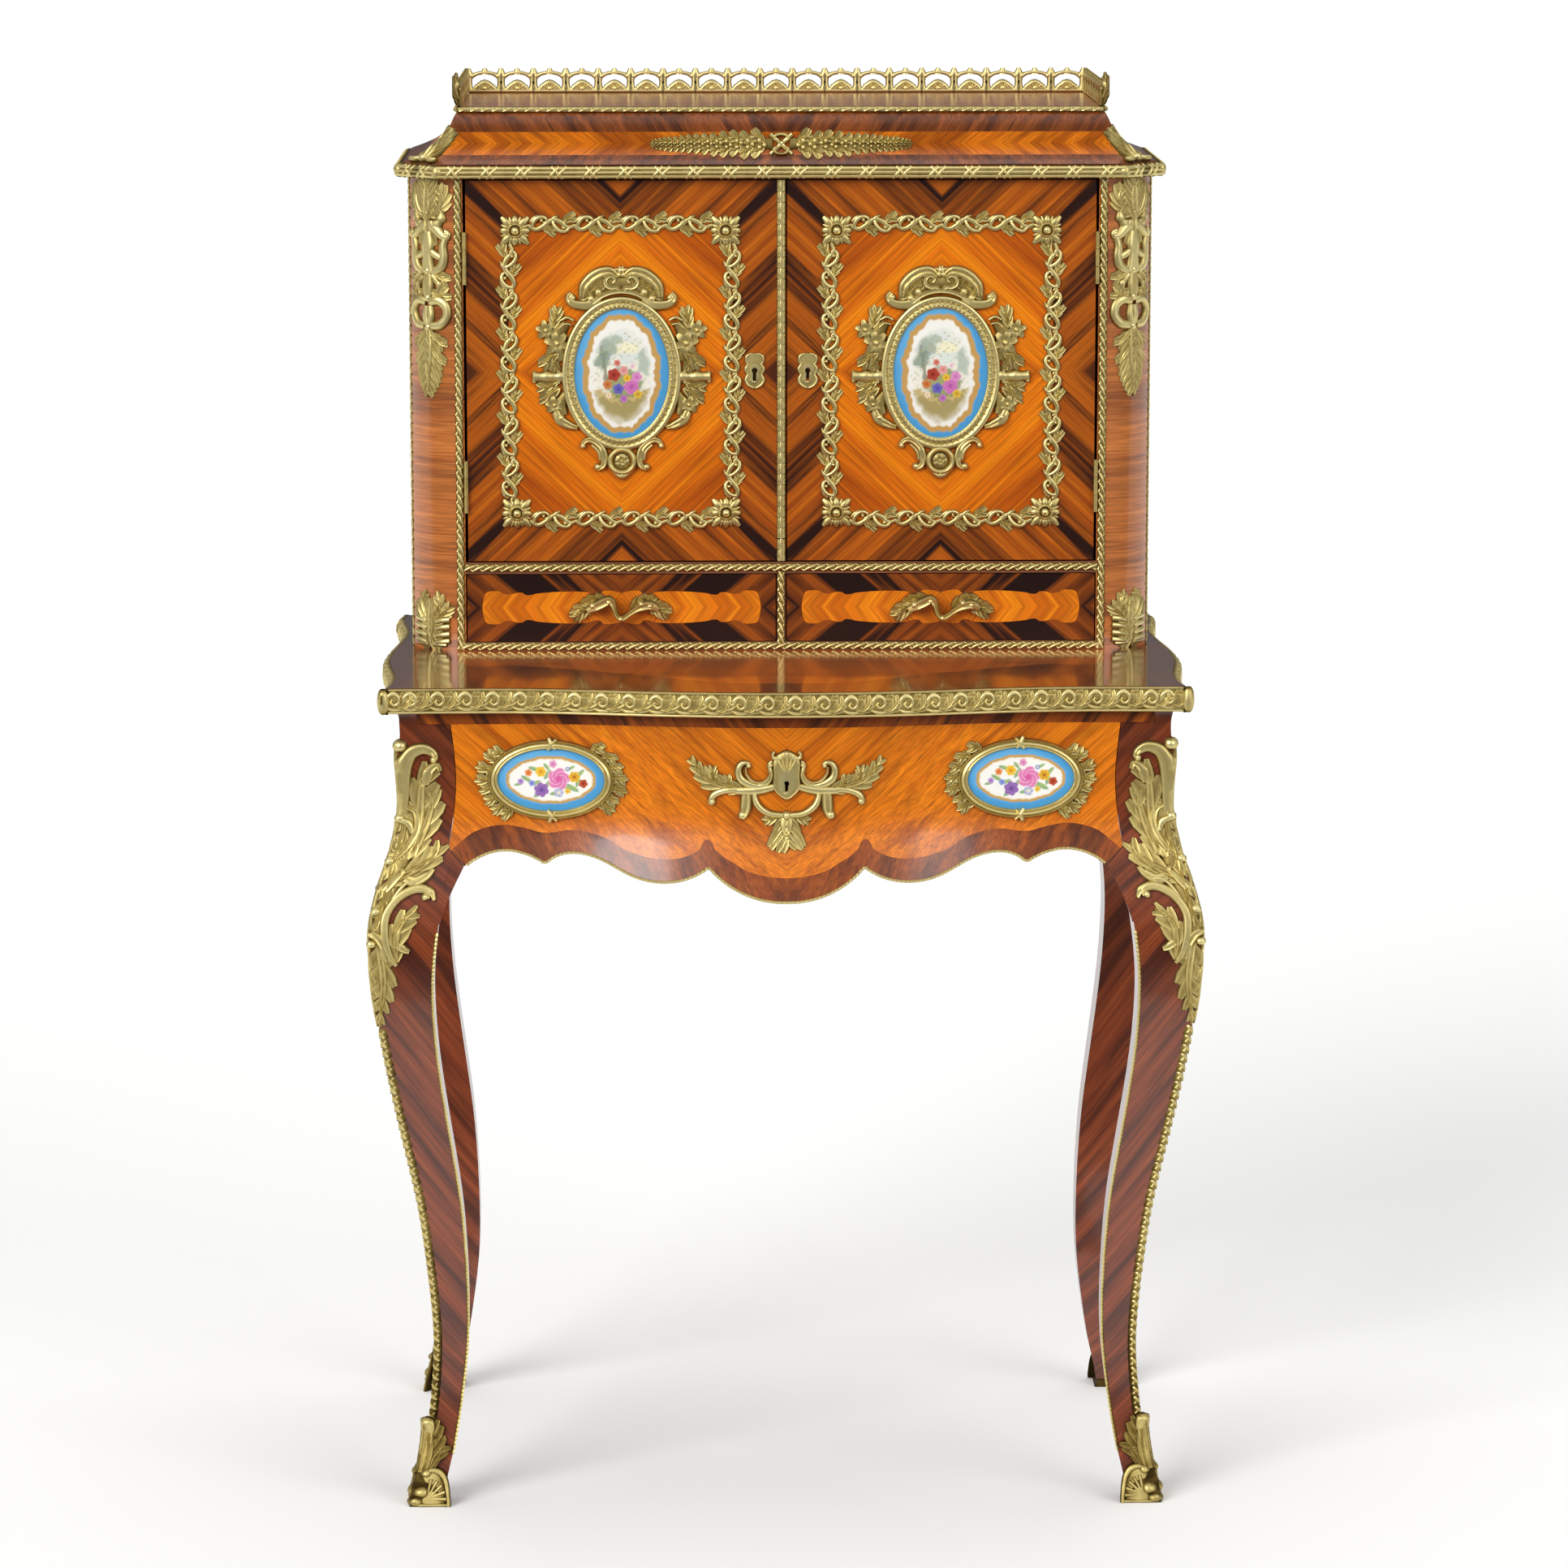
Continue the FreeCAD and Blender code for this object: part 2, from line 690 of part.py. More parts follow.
def build_table():
    board = plan(table_outline(edge_moulding_wall), board_base, table_height)
    foot = board_base - edge_moulding_lip
    rim = rounded_band(table_outline, edge_moulding_wall, edge_moulding_round, foot, table_height)
    return board, rim


def build_runners(side_apron):
    top = frieze_box_base - running_gap
    front_end = -leg_front + knee_width + runner_end_gap
    back_end = leg_back - knee_width - runner_end_gap
    inner = frieze_box_half_width - runner_bearing
    guide = frieze_box_half_width + running_gap
    bearer = block(inner, leg_x, front_end, back_end, top - runner_height, top)
    rail = block(guide, guide + guide_width, front_end, back_end, top, top + guide_height)
    runner = fused([bearer, rail]).cut(side_apron)
    runner = max(runner.Solids, key=lambda solid: solid.Volume)
    kicker_base = frieze_box_base + frieze_box_side_height + running_gap
    kicker = block(inner, guide + guide_width, front_end, back_end, kicker_base, board_base)
    return [runner, kicker, mirrored(runner), mirrored(kicker)]


def open_box(x0, x1, y0, y1, z0, height, wall, bottom):
    # A drawer box without its front: two sides, a back and a bottom in one
    top = z0 + height
    body = block(x0, x1, y0, y1, z0, top)
    return body.cut(block(x0 + wall, x1 - wall, y0 - overrun, y1 - wall, z0 + bottom, top + overrun))


def keyhole(x, z, y0, y1):
    # The round eye and the slot of a keyhole, through from y0 to y1
    eye = Part.makeCylinder(keyhole_radius, y1 - y0, vec(x, y0, z), vec(0, 1, 0))
    slot = block(x - keyhole_slot / 2, x + keyhole_slot / 2, y0, y1, z - keyhole_drop, z)
    return fused([eye, slot])


def frieze_bolt(grow, lift):
    # The bolt of the frieze lock at rest, or the space of its travel when it is grown and lifted
    y = lock_plane() + lock_case_depth / 2
    top = rail_base - drawer_clearance - lock_edge_gap
    wide = bolt_width / 2 + grow
    thick = bolt_thickness / 2 + grow
    return block(-wide, wide, y - thick, y + thick, top - bolt_length, top + lift + grow)


def lock_plane():
    # The back of the frieze drawer front at its middle, where the lock is screwed on
    return -leg_front - front_bow + apron_thickness + drawer_clearance


def build_frieze_lock(front):
    y = lock_plane()
    back = y + lock_case_depth
    top = rail_base - drawer_clearance - lock_edge_gap
    foot = top - lock_case_height
    half = lock_case_width / 2
    wall = lock_case_wall
    case = block(-half, half, y - apron_thickness, back, foot, top).cut(front)
    case = max(case.Solids, key=lambda solid: solid.CenterOfMass.y)
    inner = block(wall - half, half - wall, y + wall, back - wall, foot + wall, top - wall)
    case = case.cut(inner).cut(frieze_bolt(bolt_fit, overrun))
    return case.cut(keyhole(0, frieze_keyhole_z, y - apron_thickness, y + wall + bolt_fit))


def build_frieze_drawer(front_slab):
    front = front_slab.common(elevation(drawer_outline(drawer_clearance), -back_plane - overrun, 0))
    front = front.cut(keyhole(0, frieze_keyhole_z, -back_plane - overrun, 0))
    box = open_box(-frieze_box_half_width, frieze_box_half_width, -leg_front - front_bow, frieze_box_rear,
                   frieze_box_base, frieze_box_side_height, frieze_box_wall, frieze_box_bottom)
    box = box.cut(front_slab)
    box = max(box.Solids, key=lambda solid: solid.Volume)
    return front, box


def front_skin(front_slab, proud):
    # A layer of even depth on the face of the frieze drawer front
    forward = front_slab.copy()
    forward.translate(vec(0, -proud, 0))
    return forward.cut(front_slab)


def build_frieze_mounts(front_slab):
    skin = front_skin(front_slab, frieze_mount_proud)
    reach = (-back_plane - frieze_mount_proud - overrun, 0)
    right = [(x * frieze_mount_half_width, frieze_mount_height(z)) for x, z in frieze_mount_shares]
    left = [(-x, z) for x, z in right[-2:0:-1]]
    mount = skin.common(elevation(polygon(right + left), *reach)).cut(keyhole(0, frieze_keyhole_z, *reach))
    x = frieze_plaque_x
    z = frieze_plaque_z
    wide = frieze_plaque_half_width
    high = frieze_plaque_half_height
    rebate = plaque_rebate
    ring = oval(x, z, wide + frieze_frame_ring, high + frieze_frame_ring, *reach)
    leaves = [oval(x + side * (frieze_frame_half_width - frieze_frame_leaf / 2), z,
                   frieze_frame_leaf / 2, frieze_frame_leaf, *reach) for side in (-1, 1)]
    frame = skin.common(fused([ring] + leaves)).cut(oval(x, z, wide, high, *reach))
    pocket = front_skin(front_slab, plaque_thickness)
    frame = frame.cut(pocket.common(oval(x, z, wide + rebate, high + rebate, *reach)))
    plaque_skin = front_skin(front_slab, plaque_thickness - frame_fit)
    rebate -= frame_fit
    plaque = plaque_skin.common(oval(x, z, wide + rebate, high + rebate, *reach))
    return mount, frame, plaque


def frieze_mount_height(share):
    # Height of a point of the frieze mount: the foot lies further from the keyhole than the crest
    if share > 0:
        return frieze_keyhole_z + share * frieze_mount_rise
    return frieze_keyhole_z + share * frieze_mount_fall


def build_apron_strip(front_slab):
    # A thin brass strip along the lower edge of the drawer front
    reach = (-back_plane - overrun, 0)
    outline = drawer_outline(drawer_clearance)
    skin = front_skin(front_slab, apron_strip_proud)
    lifted = [[(x, z + apron_strip_height) for x, z in run] for run in outline]
    band = elevation(outline, *reach).cut(elevation(lifted, *reach))
    return skin.common(band)


def build_sabot(leg):
    cup_rows = []
    for i, z in enumerate(heights_between(0, sabot_height, sabot_stations)):
        share = i / (sabot_stations - 1)
        toe = leg_at(sabot_sole)[0] + sabot_toe
        neck = leg_at(sabot_height)[0] + sabot_neck_proud
        sweep = toe + (neck - toe) * share ** 2
        width = sabot_width + (leg_at(sabot_height)[1] / 2 - sabot_width) * share
        cup_rows.append((z, sweep, width))
    spray_rows = []
    for z in heights_between(sabot_height / 2, sabot_spray_height, sabot_stations + 1):
        share = (z - sabot_height / 2) / (sabot_spray_height - sabot_height / 2)
        arm = sabot_spray_arm * (1 - share * 2 / 3)
        spray_rows.append((z, leg_at(z)[0] + sabot_spray_proud, arm))
    return fused([corner_loft(cup_rows), corner_loft(spray_rows)]).cut(leg)


def build_leg_strips(leg):
    outer = []
    for z in heights_between(strip_foot, knee_mount_foot, sabot_stations * 2):
        outer.append((z, leg_at(z)[0] + strip_proud, strip_width))
    strip = corner_loft(outer).cut(leg)
    wires = []
    for z in heights_between(strip_foot, inner_strip_top, sabot_stations * 3):
        sweep, width = leg_at(z)
        x0 = leg_x + sweep - width - inner_strip_proud
        y0 = -leg_front - sweep - inner_strip_proud
        x1 = x0 + inner_strip_width
        y1 = y0 + inner_strip_width
        corners = [vec(x0, y0, z), vec(x1, y0, z), vec(x1, y1, z), vec(x0, y1, z)]
        wires.append(Part.makePolygon(corners + corners[:1]))
    inner = Part.makeLoft(wires, True, False).cut(leg)
    return [strip, inner]


def build_knee_mount(leg, side_apron):
    rows = []
    for z in heights_between(knee_mount_foot, knee_mount_top, len(knee_mount_shares)):
        sweep, width = leg_at(z)
        rows.append((z, sweep + knee_mount_proud, width + knee_mount_proud))
    skin = corner_loft(rows).cut(leg)
    length = knee_mount_top - knee_mount_foot
    inner = []
    for fall, arm in knee_mount_shares:
        z = knee_mount_top - fall * length
        inner.append((leg_x + leg_at(z)[0] - arm * knee_mount_arm, z))
    outer_x = leg_x + 2 * knee_sweep
    closing = [(outer_x, knee_mount_foot), (outer_x, knee_mount_top)]
    runs = [inner, [inner[-1], closing[0]], closing, [closing[1], inner[0]]]
    wing = elevation(runs, -back_plane - overrun, 0)
    turned = wing.mirror(vec(leg_x, -leg_front, 0), vec(1, 1, 0))
    mount = skin.common(wing).common(turned).cut(side_apron)
    return max(mount.Solids, key=lambda solid: solid.Volume)


def post_runs(proud):
    # Plan of the right corner post, its rounded cant grown outwards by a mount's depth
    start = (post_cant_start, case_front - proud)
    end = (case_half_width + proud, post_shoulder)
    middle_x = (start[0] + end[0] + post_cant_swell * math.sqrt(2)) / 2
    middle_y = (start[1] + end[1] - post_cant_swell * math.sqrt(2)) / 2
    cant = [start, (middle_x, middle_y), end]
    inner = (opening_half_width, post_inner_depth + case_front)
    tail = [end, (end[0], post_back)]
    return [[(opening_half_width, start[1]), start], cant, tail, [tail[1], (case_inner, post_back)],
            [(case_inner, post_back), inner], [inner, (opening_half_width, start[1])]]


def build_post():
    return plan(post_runs(0), table_height, case_top)


def build_post_mount(post, top, foot, shares):
    skin = plan(post_runs(post_mount_proud), foot, top).cut(post)
    left = []
    right = []
    middle = (post_cant_start + case_half_width) / 2
    for fall, half in shares:
        z = top - fall * (top - foot)
        left.append((middle - half * post_mount_width / 2, z))
        right.append((middle + half * post_mount_width / 2, z))
    runs = [left, [left[-1], right[-1]], right[::-1], [right[0], left[0]]]
    return skin.common(elevation(runs, bead_face, post_back))


def board_plan():
    # Plan of the boards that lie between the case sides and the posts
    right = [(opening_half_width, case_front), (opening_half_width, case_front + post_inner_depth),
             (case_inner, post_back), (case_inner, case_back)]
    return polygon(right + [(-x, y) for x, y in right[::-1]])


def build_partitions():
    dust = plan(board_plan(), dust_board_base, dust_board_top)
    half = drawer_divider / 2
    divider = block(-half, half, case_front, case_back, floor_top, dust_board_base)
    edge = opening_half_width
    guide = block(edge, edge + drawer_guide, post_back, case_back, floor_top, dust_board_base)
    shelf = block(-case_inner, case_inner, shelf_front, case_back, shelf_base, shelf_base + shelf_board)
    return [dust, divider, guide, mirrored(guide), shelf]


def build_beading():
    left = post_cant_start - bead_width
    upright = block(left, post_cant_start, bead_face, case_front, table_height, case_top)
    mid = block(-left, left, bead_face, case_front, mid_bead_base, mid_bead_base + mid_bead_height)
    low = block(-left, left, bead_face, case_front, bottom_bead_base, bottom_bead_base + bottom_bead_height)
    half = divider_bead_width / 2
    middle = block(-half, half, bead_face, case_front, bottom_bead_base + bottom_bead_height, mid_bead_base)
    lattice = fused([upright, mirrored(upright), mid, low, middle])
    side = case_half_width
    outer = block(side, side + side_bead_proud, post_shoulder, post_back, table_height, case_top)
    return [lattice, outer, mirrored(outer)]


def hinge_spans(centre):
    base = centre - hinge_length / 2
    return [base + hinge_length * share for share in hinge_knuckle_shares]


def hinge_leaf(centre, x0, x1, own, bore):
    # A leaf behind the pin with knuckles over the spans in own, on the right-hand door
    spans = hinge_spans(centre)
    clear = pin_y + knuckle_radius + knuckle_gap
    parts = [block(x0, x1, clear, pin_y + leaf_depth, spans[0], spans[-1])]
    for index in own:
        low = spans[index] + knuckle_gap * (index > 0)
        high = spans[index + 1] - knuckle_gap * (index < 2)
        parts.append(block(x0, x1, pin_y, clear, low, high))
        parts.append(Part.makeCylinder(knuckle_radius, high - low, vec(hinge_pin_x, pin_y, low)))
    leaf = fused(parts)
    length = spans[-1] - spans[0] + 2 * overrun
    if bore:
        hole = Part.makeCylinder(pin_radius + pin_fit, length, vec(hinge_pin_x, pin_y, spans[0] - overrun))
        return leaf.cut(hole)
    pin = Part.makeCylinder(pin_radius, spans[-1] - spans[0], vec(hinge_pin_x, pin_y, spans[0]))
    return fused([leaf, pin])


def build_hinges():
    case_side = []
    door_side = []
    for centre in hinge_centres:
        case_x = hinge_pin_x + leaf_gap
        case_side.append(hinge_leaf(centre, case_x, case_x + leaf_thickness, [0, 2], False))
        door_x = hinge_pin_x - leaf_gap
        door_side.append(hinge_leaf(centre, door_x - leaf_thickness, door_x, [1], True))
    return case_side, door_side


def door_blank(start, end):
    # A door from its meeting edge to its hinge edge; the meeting edge is bevelled towards the back
    corners = [(start, case_front), (end, case_front), (end, door_back), (start + meeting_bevel, door_back)]
    return plan(polygon(corners), door_base, door_top)


def build_border():
    # A brass border in four bars with a petalled rosette over each corner
    face = case_front
    inner = border_inner_edge
    outer = border_outer_edge
    wide = border_width
    ring = block(inner, outer, face - border_proud, face, border_base, border_top)
    low = border_base + wide
    high = border_top - wide
    opening = block(inner + wide, outer - wide, face - border_proud, face, low, high)
    parts = [ring.cut(opening)]
    for x in (inner + rosette_inset, outer - rosette_inset):
        for z in (border_base + rosette_inset, border_top - rosette_inset):
            parts += rosette(x, z)
    return fused(parts)


def rosette(x, z):
    # A round boss with petals about it, in front of the door face
    face = case_front - rosette_proud
    reach = rosette_radius - rosette_petal
    petals = [Part.makeCylinder(reach, rosette_proud, vec(x, face, z), vec(0, 1, 0))]
    for i in range(rosette_petals):
        angle = 2 * math.pi * i / rosette_petals
        centre = vec(x + reach * math.cos(angle), face, z + reach * math.sin(angle))
        petals.append(Part.makeCylinder(rosette_petal, rosette_proud, centre, vec(0, 1, 0)))
    return petals


def build_plaque():
    # A slightly domed porcelain oval behind the lip of its frame
    wide = door_plaque_half_width + plaque_rebate - frame_fit
    high = door_plaque_half_height + plaque_rebate - frame_fit
    back = case_front
    plate = oval(door_plaque_x, door_plaque_z, wide, high, back - plaque_thickness + frame_fit, back)
    dome = oval(door_plaque_x, door_plaque_z, wide - plaque_rebate * 2, high - plaque_rebate * 2,
                back - plaque_thickness - plaque_dome, back - plaque_thickness / 2)
    return fused([plate, dome])


def build_cartouche():
    # The pierced frame of a door plaque: a ring with a crest, two leaf clusters a side and a pendant
    x = door_plaque_x
    z = door_plaque_z
    wide = door_plaque_half_width
    high = door_plaque_half_height
    depth = (case_front - plaque_thickness - frame_lip, case_front)
    crest = cartouche_crest_height / 2
    pendant = cartouche_pendant_height / 2
    wing = (cartouche_half_width - wide) / 2 + frame_lip
    parts = [oval(x, z, wide + cartouche_ring, high + cartouche_ring, *depth)]
    parts.append(oval(x, z + cartouche_rise - crest, cartouche_crest_half_width, crest, *depth))
    parts.append(oval(x, z - cartouche_fall + pendant, cartouche_pendant_half_width, pendant, *depth))
    for side in (-1, 1):
        for rise in (-cartouche_wing_rise, cartouche_wing_rise * 2):
            middle = x + side * (cartouche_half_width - wing)
            parts.append(oval(middle, z + rise, wing, cartouche_wing_height / 2, *depth))
    frame = fused(parts).cut(oval(x, z, wide, high, depth[0] - overrun, depth[1] + overrun))
    wide += plaque_rebate
    high += plaque_rebate
    return frame.cut(oval(x, z, wide, high, case_front - plaque_thickness, case_front + overrun))


def build_escutcheon():
    width = escutcheon_width / 2
    height = escutcheon_height / 2
    return oval(escutcheon_x, escutcheon_z, width, height, case_front - escutcheon_proud, case_front)


def door_bolt(grow, reach):
    # The bolt of the door lock at rest behind the meeting edge, or the space of its travel
    start = right_door_start + meeting_bevel + lock_edge_gap
    y = door_back - lock_case_depth / 2
    thick = bolt_thickness / 2 + grow
    wide = bolt_width / 2 + grow
    z = escutcheon_z
    return block(start - reach - grow, start + bolt_length + grow, y - thick, y + thick, z - wide, z + wide)


def door_lock_body(grow):
    # The lock case let into the back of the right door, or its hollow when it is drawn in
    start = right_door_start + meeting_bevel + lock_edge_gap
    y = door_back - lock_case_depth
    high = lock_case_height / 2 + grow
    z = escutcheon_z
    end = start + lock_case_width
    return block(start - grow, end + grow, y - grow, door_back + grow, z - high, z + high)


def build_door_lock():
    case = door_lock_body(0)
    hollow = door_lock_body(-lock_case_wall)
    case = case.cut(hollow).cut(door_bolt(bolt_fit, overrun))
    return case.cut(keyhole(escutcheon_x, escutcheon_z, case_front, door_back - lock_case_wall * 2))


def build_doors():
    right = door_blank(right_door_start, door_half_opening)
    left = mirrored(door_blank(-left_door_reach, door_half_opening))
    slot = door_bolt(bolt_fit, bolt_travel + meeting_gap)
    right = right.cut(door_lock_body(0)).cut(slot)
    right = right.cut(keyhole(escutcheon_x, escutcheon_z, case_front - overrun, door_back))
    left = left.cut(slot)
    return left, right


def build_small_drawer():
    low = small_drawer_base
    high = small_drawer_top
    back = case_front + small_front_thickness
    gap = small_box_side_gap
    front = block(small_drawer_inner, small_drawer_outer, case_front, back, low, high)
    box = open_box(small_drawer_inner + gap, small_drawer_outer - gap, back, case_back - small_box_rear_gap,
                   floor_top + running_gap, small_box_height, small_box_wall, small_box_bottom)
    return front, box


def build_handle():
    # A cast pull: two leaf sprays on the drawer front joined by a bowed bridge
    half = handle_half_width
    foot = half - handle_foot
    front = case_front - handle_stand
    inner = front + handle_bar
    outer = case_front - handle_bar
    bow = [(-half, case_front), (-half, outer), (-foot, front), (foot, front), (half, outer),
           (half, case_front), (foot, case_front), (foot - handle_bar, inner),
           (handle_bar - foot, inner), (-foot, case_front)]
    band = plan(polygon(bow), handle_z - handle_half_height * 2, handle_z + handle_half_height * 2)
    band.translate(vec(handle_x, 0, 0))
    runs = []
    for shares in (handle_left_shares, handle_right_shares, handle_under_shares):
        runs.append([(handle_x + x * half, handle_z + z * handle_half_height) for x, z in shares])
    return band.common(elevation(runs, front - overrun, case_front + overrun))


def cornice_runs(inset):
    # Plan of the cornice with its canted front corners
    half = cornice_half_width - inset
    front = cornice_front + inset
    turn = cornice_straight - inset * math.tan(math.pi / 8)
    cant_end = cornice_front + cornice_cant_depth + inset * math.tan(math.pi / 8)
    right = [(turn, front), (half, cant_end), (half, back_plane)]
    return polygon(right + [(-x, y) for x, y in right[::-1]])


def build_cornice():
    wall = cornice_moulding_wall
    board = plan(cornice_runs(wall), case_top, hood_base)
    half = cornice_half_width - wall
    board = fused([board, block(-half, half, back_plane - wall * 2, back_plane, case_top, hood_base)])
    top = case_top + cornice_moulding_height
    band = rounded_band(cornice_runs, wall, cornice_moulding_round, case_top, top)
    return board, band.cut(board)


def hood_loft(inset, base, top):
    # The coved hood: canted at its foot, square at its neck
    wires = []
    for height, side, front, cant in hood_station_shares:
        z = base + height * (top - base)
        half = hood_neck_half_width + side * (hood_foot_half_width - hood_neck_half_width) - inset
        face = hood_foot_front + front * (hood_neck_front - hood_foot_front) + inset
        cut_x = cant * (cornice_half_width - cornice_straight)
        cut_y = cant * cornice_cant_depth
        right = [vec(half - cut_x, face, z), vec(half, face + cut_y, z), vec(half, hood_back - inset, z)]
        left = [vec(-point.x, point.y, z) for point in right[::-1]]
        wires.append(Part.makePolygon(right + left + right[:1]))
    return Part.makeLoft(wires, True, False)


def build_hood():
    cavity = hood_loft(hood_wall, hood_base - overrun, hood_top_base + overrun)
    return hood_loft(0, hood_base, hood_top_base).cut(cavity)


def build_hood_top():
    wall = hood_moulding_wall
    top = hood_top_base + hood_top_board
    half = hood_top_half_width
    outer = block(-half, half, hood_top_front, hood_top_back, hood_top_base, top)
    board = block(wall - half, half - wall, hood_top_front + wall, hood_top_back, hood_top_base, top)
    return board, outer.cut(board)


def gallery_panel(length):
    # A pierced rail in its own plane: base band, round-headed openings and a crest of points
    top = gallery_height - gallery_crest
    parts = [block(0, length, 0, gallery_plate, 0, top)]
    count = round(length / gallery_pitch)
    pitch = length / count
    half = gallery_crest_width / 2
    wide = gallery_hole_half_width
    spring = gallery_base + gallery_hole_height - wide * gallery_arch_share
    holes = []
    for i in range(count):
        x = pitch * (i + 1 / 2)
        holes.append(block(x - wide, x + wide, -overrun, overrun, gallery_base, spring))
        holes.append(oval(x, spring, wide, wide * gallery_arch_share, -overrun, overrun))
        for place in (x, pitch * i + half):
            point = polygon([(place - half, top), (place + half, top), (place, gallery_height)])
            parts.append(elevation(point, 0, gallery_plate))
    return fused(parts).cut(fused(holes))


def build_gallery():
    base = hood_top_base + hood_top_board
    long_rail = gallery_panel(2 * (gallery_half_width - gallery_plate))
    long_rail.translate(vec(gallery_plate - gallery_half_width, gallery_back - gallery_plate, base))
    depth = gallery_back - gallery_front
    side = gallery_panel(depth)
    side.rotate(vec(0, 0, 0), vec(0, 0, 1), 90)
    side.translate(vec(gallery_half_width, gallery_front, base))
    length = gallery_end_length
    flare = gallery_end_flare
    rise = gallery_height + gallery_end_rise
    outline = [(0, 0), (length, 0), (length, gallery_height - gallery_crest)]
    outline += [(length * reach, rise * height) for reach, height in gallery_end_shares]
    scroll = side_elevation(polygon(outline), 0, gallery_plate)
    scroll.rotate(vec(gallery_plate, length, 0), vec(0, 0, 1), math.degrees(math.atan2(flare, length)) / 2)
    scroll.translate(vec(gallery_half_width - gallery_plate, gallery_front - gallery_plate, base))
    side = fused([side, scroll])
    return [long_rail, side, mirrored(side)]


def build_hood_mounts(cornice):
    upper = [(x * garland_half_width, garland_z + z * garland_half_height) for x, z in garland_shares]
    lower = [(x, 2 * garland_z - z) for x, z in upper[::-1]]
    hood = hood_loft(0, hood_base, hood_top_base)
    forward = hood.copy()
    forward.translate(vec(0, -garland_proud, 0))
    outline = elevation([upper, lower], hood_foot_front - overrun, hood_neck_front + overrun)
    garland = forward.cut(hood).common(outline)
    garland = max(garland.Solids, key=lambda solid: solid.Volume)
    length = corner_leaf_length / 2
    width = corner_leaf_width / 2
    leaf = block(-length, length, -width, width, -corner_leaf_height, corner_leaf_height / 2)
    leaf.rotate(vec(0, 0, 0), vec(0, 1, 0), corner_leaf_dip)
    leaf.rotate(vec(0, 0, 0), vec(0, 0, 1), -corner_leaf_turn)
    leaf_x = hood_foot_half_width - corner_leaf_inset
    leaf.translate(vec(leaf_x, hood_foot_front + corner_leaf_setback, hood_base + corner_leaf_rise))
    leaf = leaf.cut(hood).cut(cornice[0]).cut(cornice[1])
    leaf = max(leaf.Solids, key=lambda solid: solid.Volume)
    return [garland, leaf, mirrored(leaf)]


front_slab = slab(front_face_at, vec(0, apron_thickness, 0))
side_slab = slab(side_face_at, vec(-apron_thickness, 0, 0))
legs = build_legs(front_slab, side_slab)
for name, leg in legs.items():
    save(name, leg)

side_apron = build_side_apron(side_slab, legs)
save("right_side_apron", side_apron)
save("left_side_apron", mirrored(side_apron))
save("rear_apron", build_rear_apron(legs, side_apron))
save("front_top_rail", build_front_rail(legs))
save("frieze_drawer_runners", *build_runners(side_apron))

board, rim = build_table()
save("table_top", board)
save("table_edge_moulding", rim)

right_leg = legs["right_front_leg"]
front_sabot = build_sabot(right_leg)
sabots = [front_sabot, at_back(front_sabot)]
save("sabots", *(sabots + [mirrored(sabot) for sabot in sabots]))
strips = build_leg_strips(right_leg)
save("leg_edge_strips", *(strips + [mirrored(strip) for strip in strips]))
knee_mount = build_knee_mount(right_leg, side_apron)
save("knee_mounts", knee_mount, mirrored(knee_mount))

post = build_post()
save("right_corner_post", post)
save("left_corner_post", mirrored(post))
side = block(case_inner, case_half_width, post_back, case_back, table_height, case_top)
save("right_cabinet_side", side)
save("left_cabinet_side", mirrored(side))
back = block(-case_half_width, case_half_width, case_back, back_plane, table_height, case_top)
save("cabinet_back", back)
save("cabinet_floor", plan(board_plan(), table_height, floor_top))
save("cabinet_partitions", *build_partitions())
save("cabinet_beading", *build_beading())
head_mount = build_post_mount(post, head_mount_top, head_mount_foot, head_mount_shares)
foot_mount = build_post_mount(post, foot_mount_top, foot_mount_base, foot_mount_shares)
save("corner_post_mounts", head_mount, foot_mount, mirrored(head_mount), mirrored(foot_mount))

case_leaves, door_leaves = build_hinges()
save("case_hinges", *(case_leaves + [mirrored(leaf) for leaf in case_leaves]))
save("right_door_hinge_leaves", *door_leaves)
save("left_door_hinge_leaves", *[mirrored(leaf) for leaf in door_leaves])

left_door, right_door = build_doors()
save("left_door_panel", left_door)
save("right_door_panel", right_door)
border = build_border()
save("right_door_border", border)
save("left_door_border", mirrored(border))
cartouche = build_cartouche()
save("right_door_plaque_frame", cartouche)
save("left_door_plaque_frame", mirrored(cartouche))
plaque = build_plaque()
save("right_door_plaque", plaque)
save("left_door_plaque", mirrored(plaque))
escutcheon = build_escutcheon()
save("left_door_escutcheon", mirrored(escutcheon))
open_key = keyhole(escutcheon_x, escutcheon_z, case_front - escutcheon_proud - overrun, case_front)
save("right_door_escutcheon", escutcheon.cut(open_key))
save("meeting_beading", block(-left_door_reach, left_door_reach, bead_face, case_front, door_base, door_top))
save("door_lock_case", build_door_lock())
save("door_lock_bolt", door_bolt(0, 0))

drawer_front, drawer_box = build_small_drawer()
handle = build_handle()
save("right_drawer_front", drawer_front)
save("right_drawer_box", drawer_box)
save("right_drawer_handle", handle)
left_handle = handle.copy()
left_handle.translate(vec(-2 * handle_x, 0, 0))
save("left_drawer_front", mirrored(drawer_front))
save("left_drawer_box", mirrored(drawer_box))
save("left_drawer_handle", left_handle)

frieze_front, frieze_box = build_frieze_drawer(front_slab)
save("frieze_drawer_front", frieze_front)
save("frieze_drawer_box", frieze_box)
mount, frame, plaque = build_frieze_mounts(front_slab)
save("frieze_mount", mount)
save("frieze_plaque_frames", frame, mirrored(frame))
save("frieze_plaques", plaque, mirrored(plaque))
save("apron_edge_strip", build_apron_strip(front_slab))
save("frieze_lock_case", build_frieze_lock(frieze_front))
save("frieze_lock_bolt", frieze_bolt(0, 0))

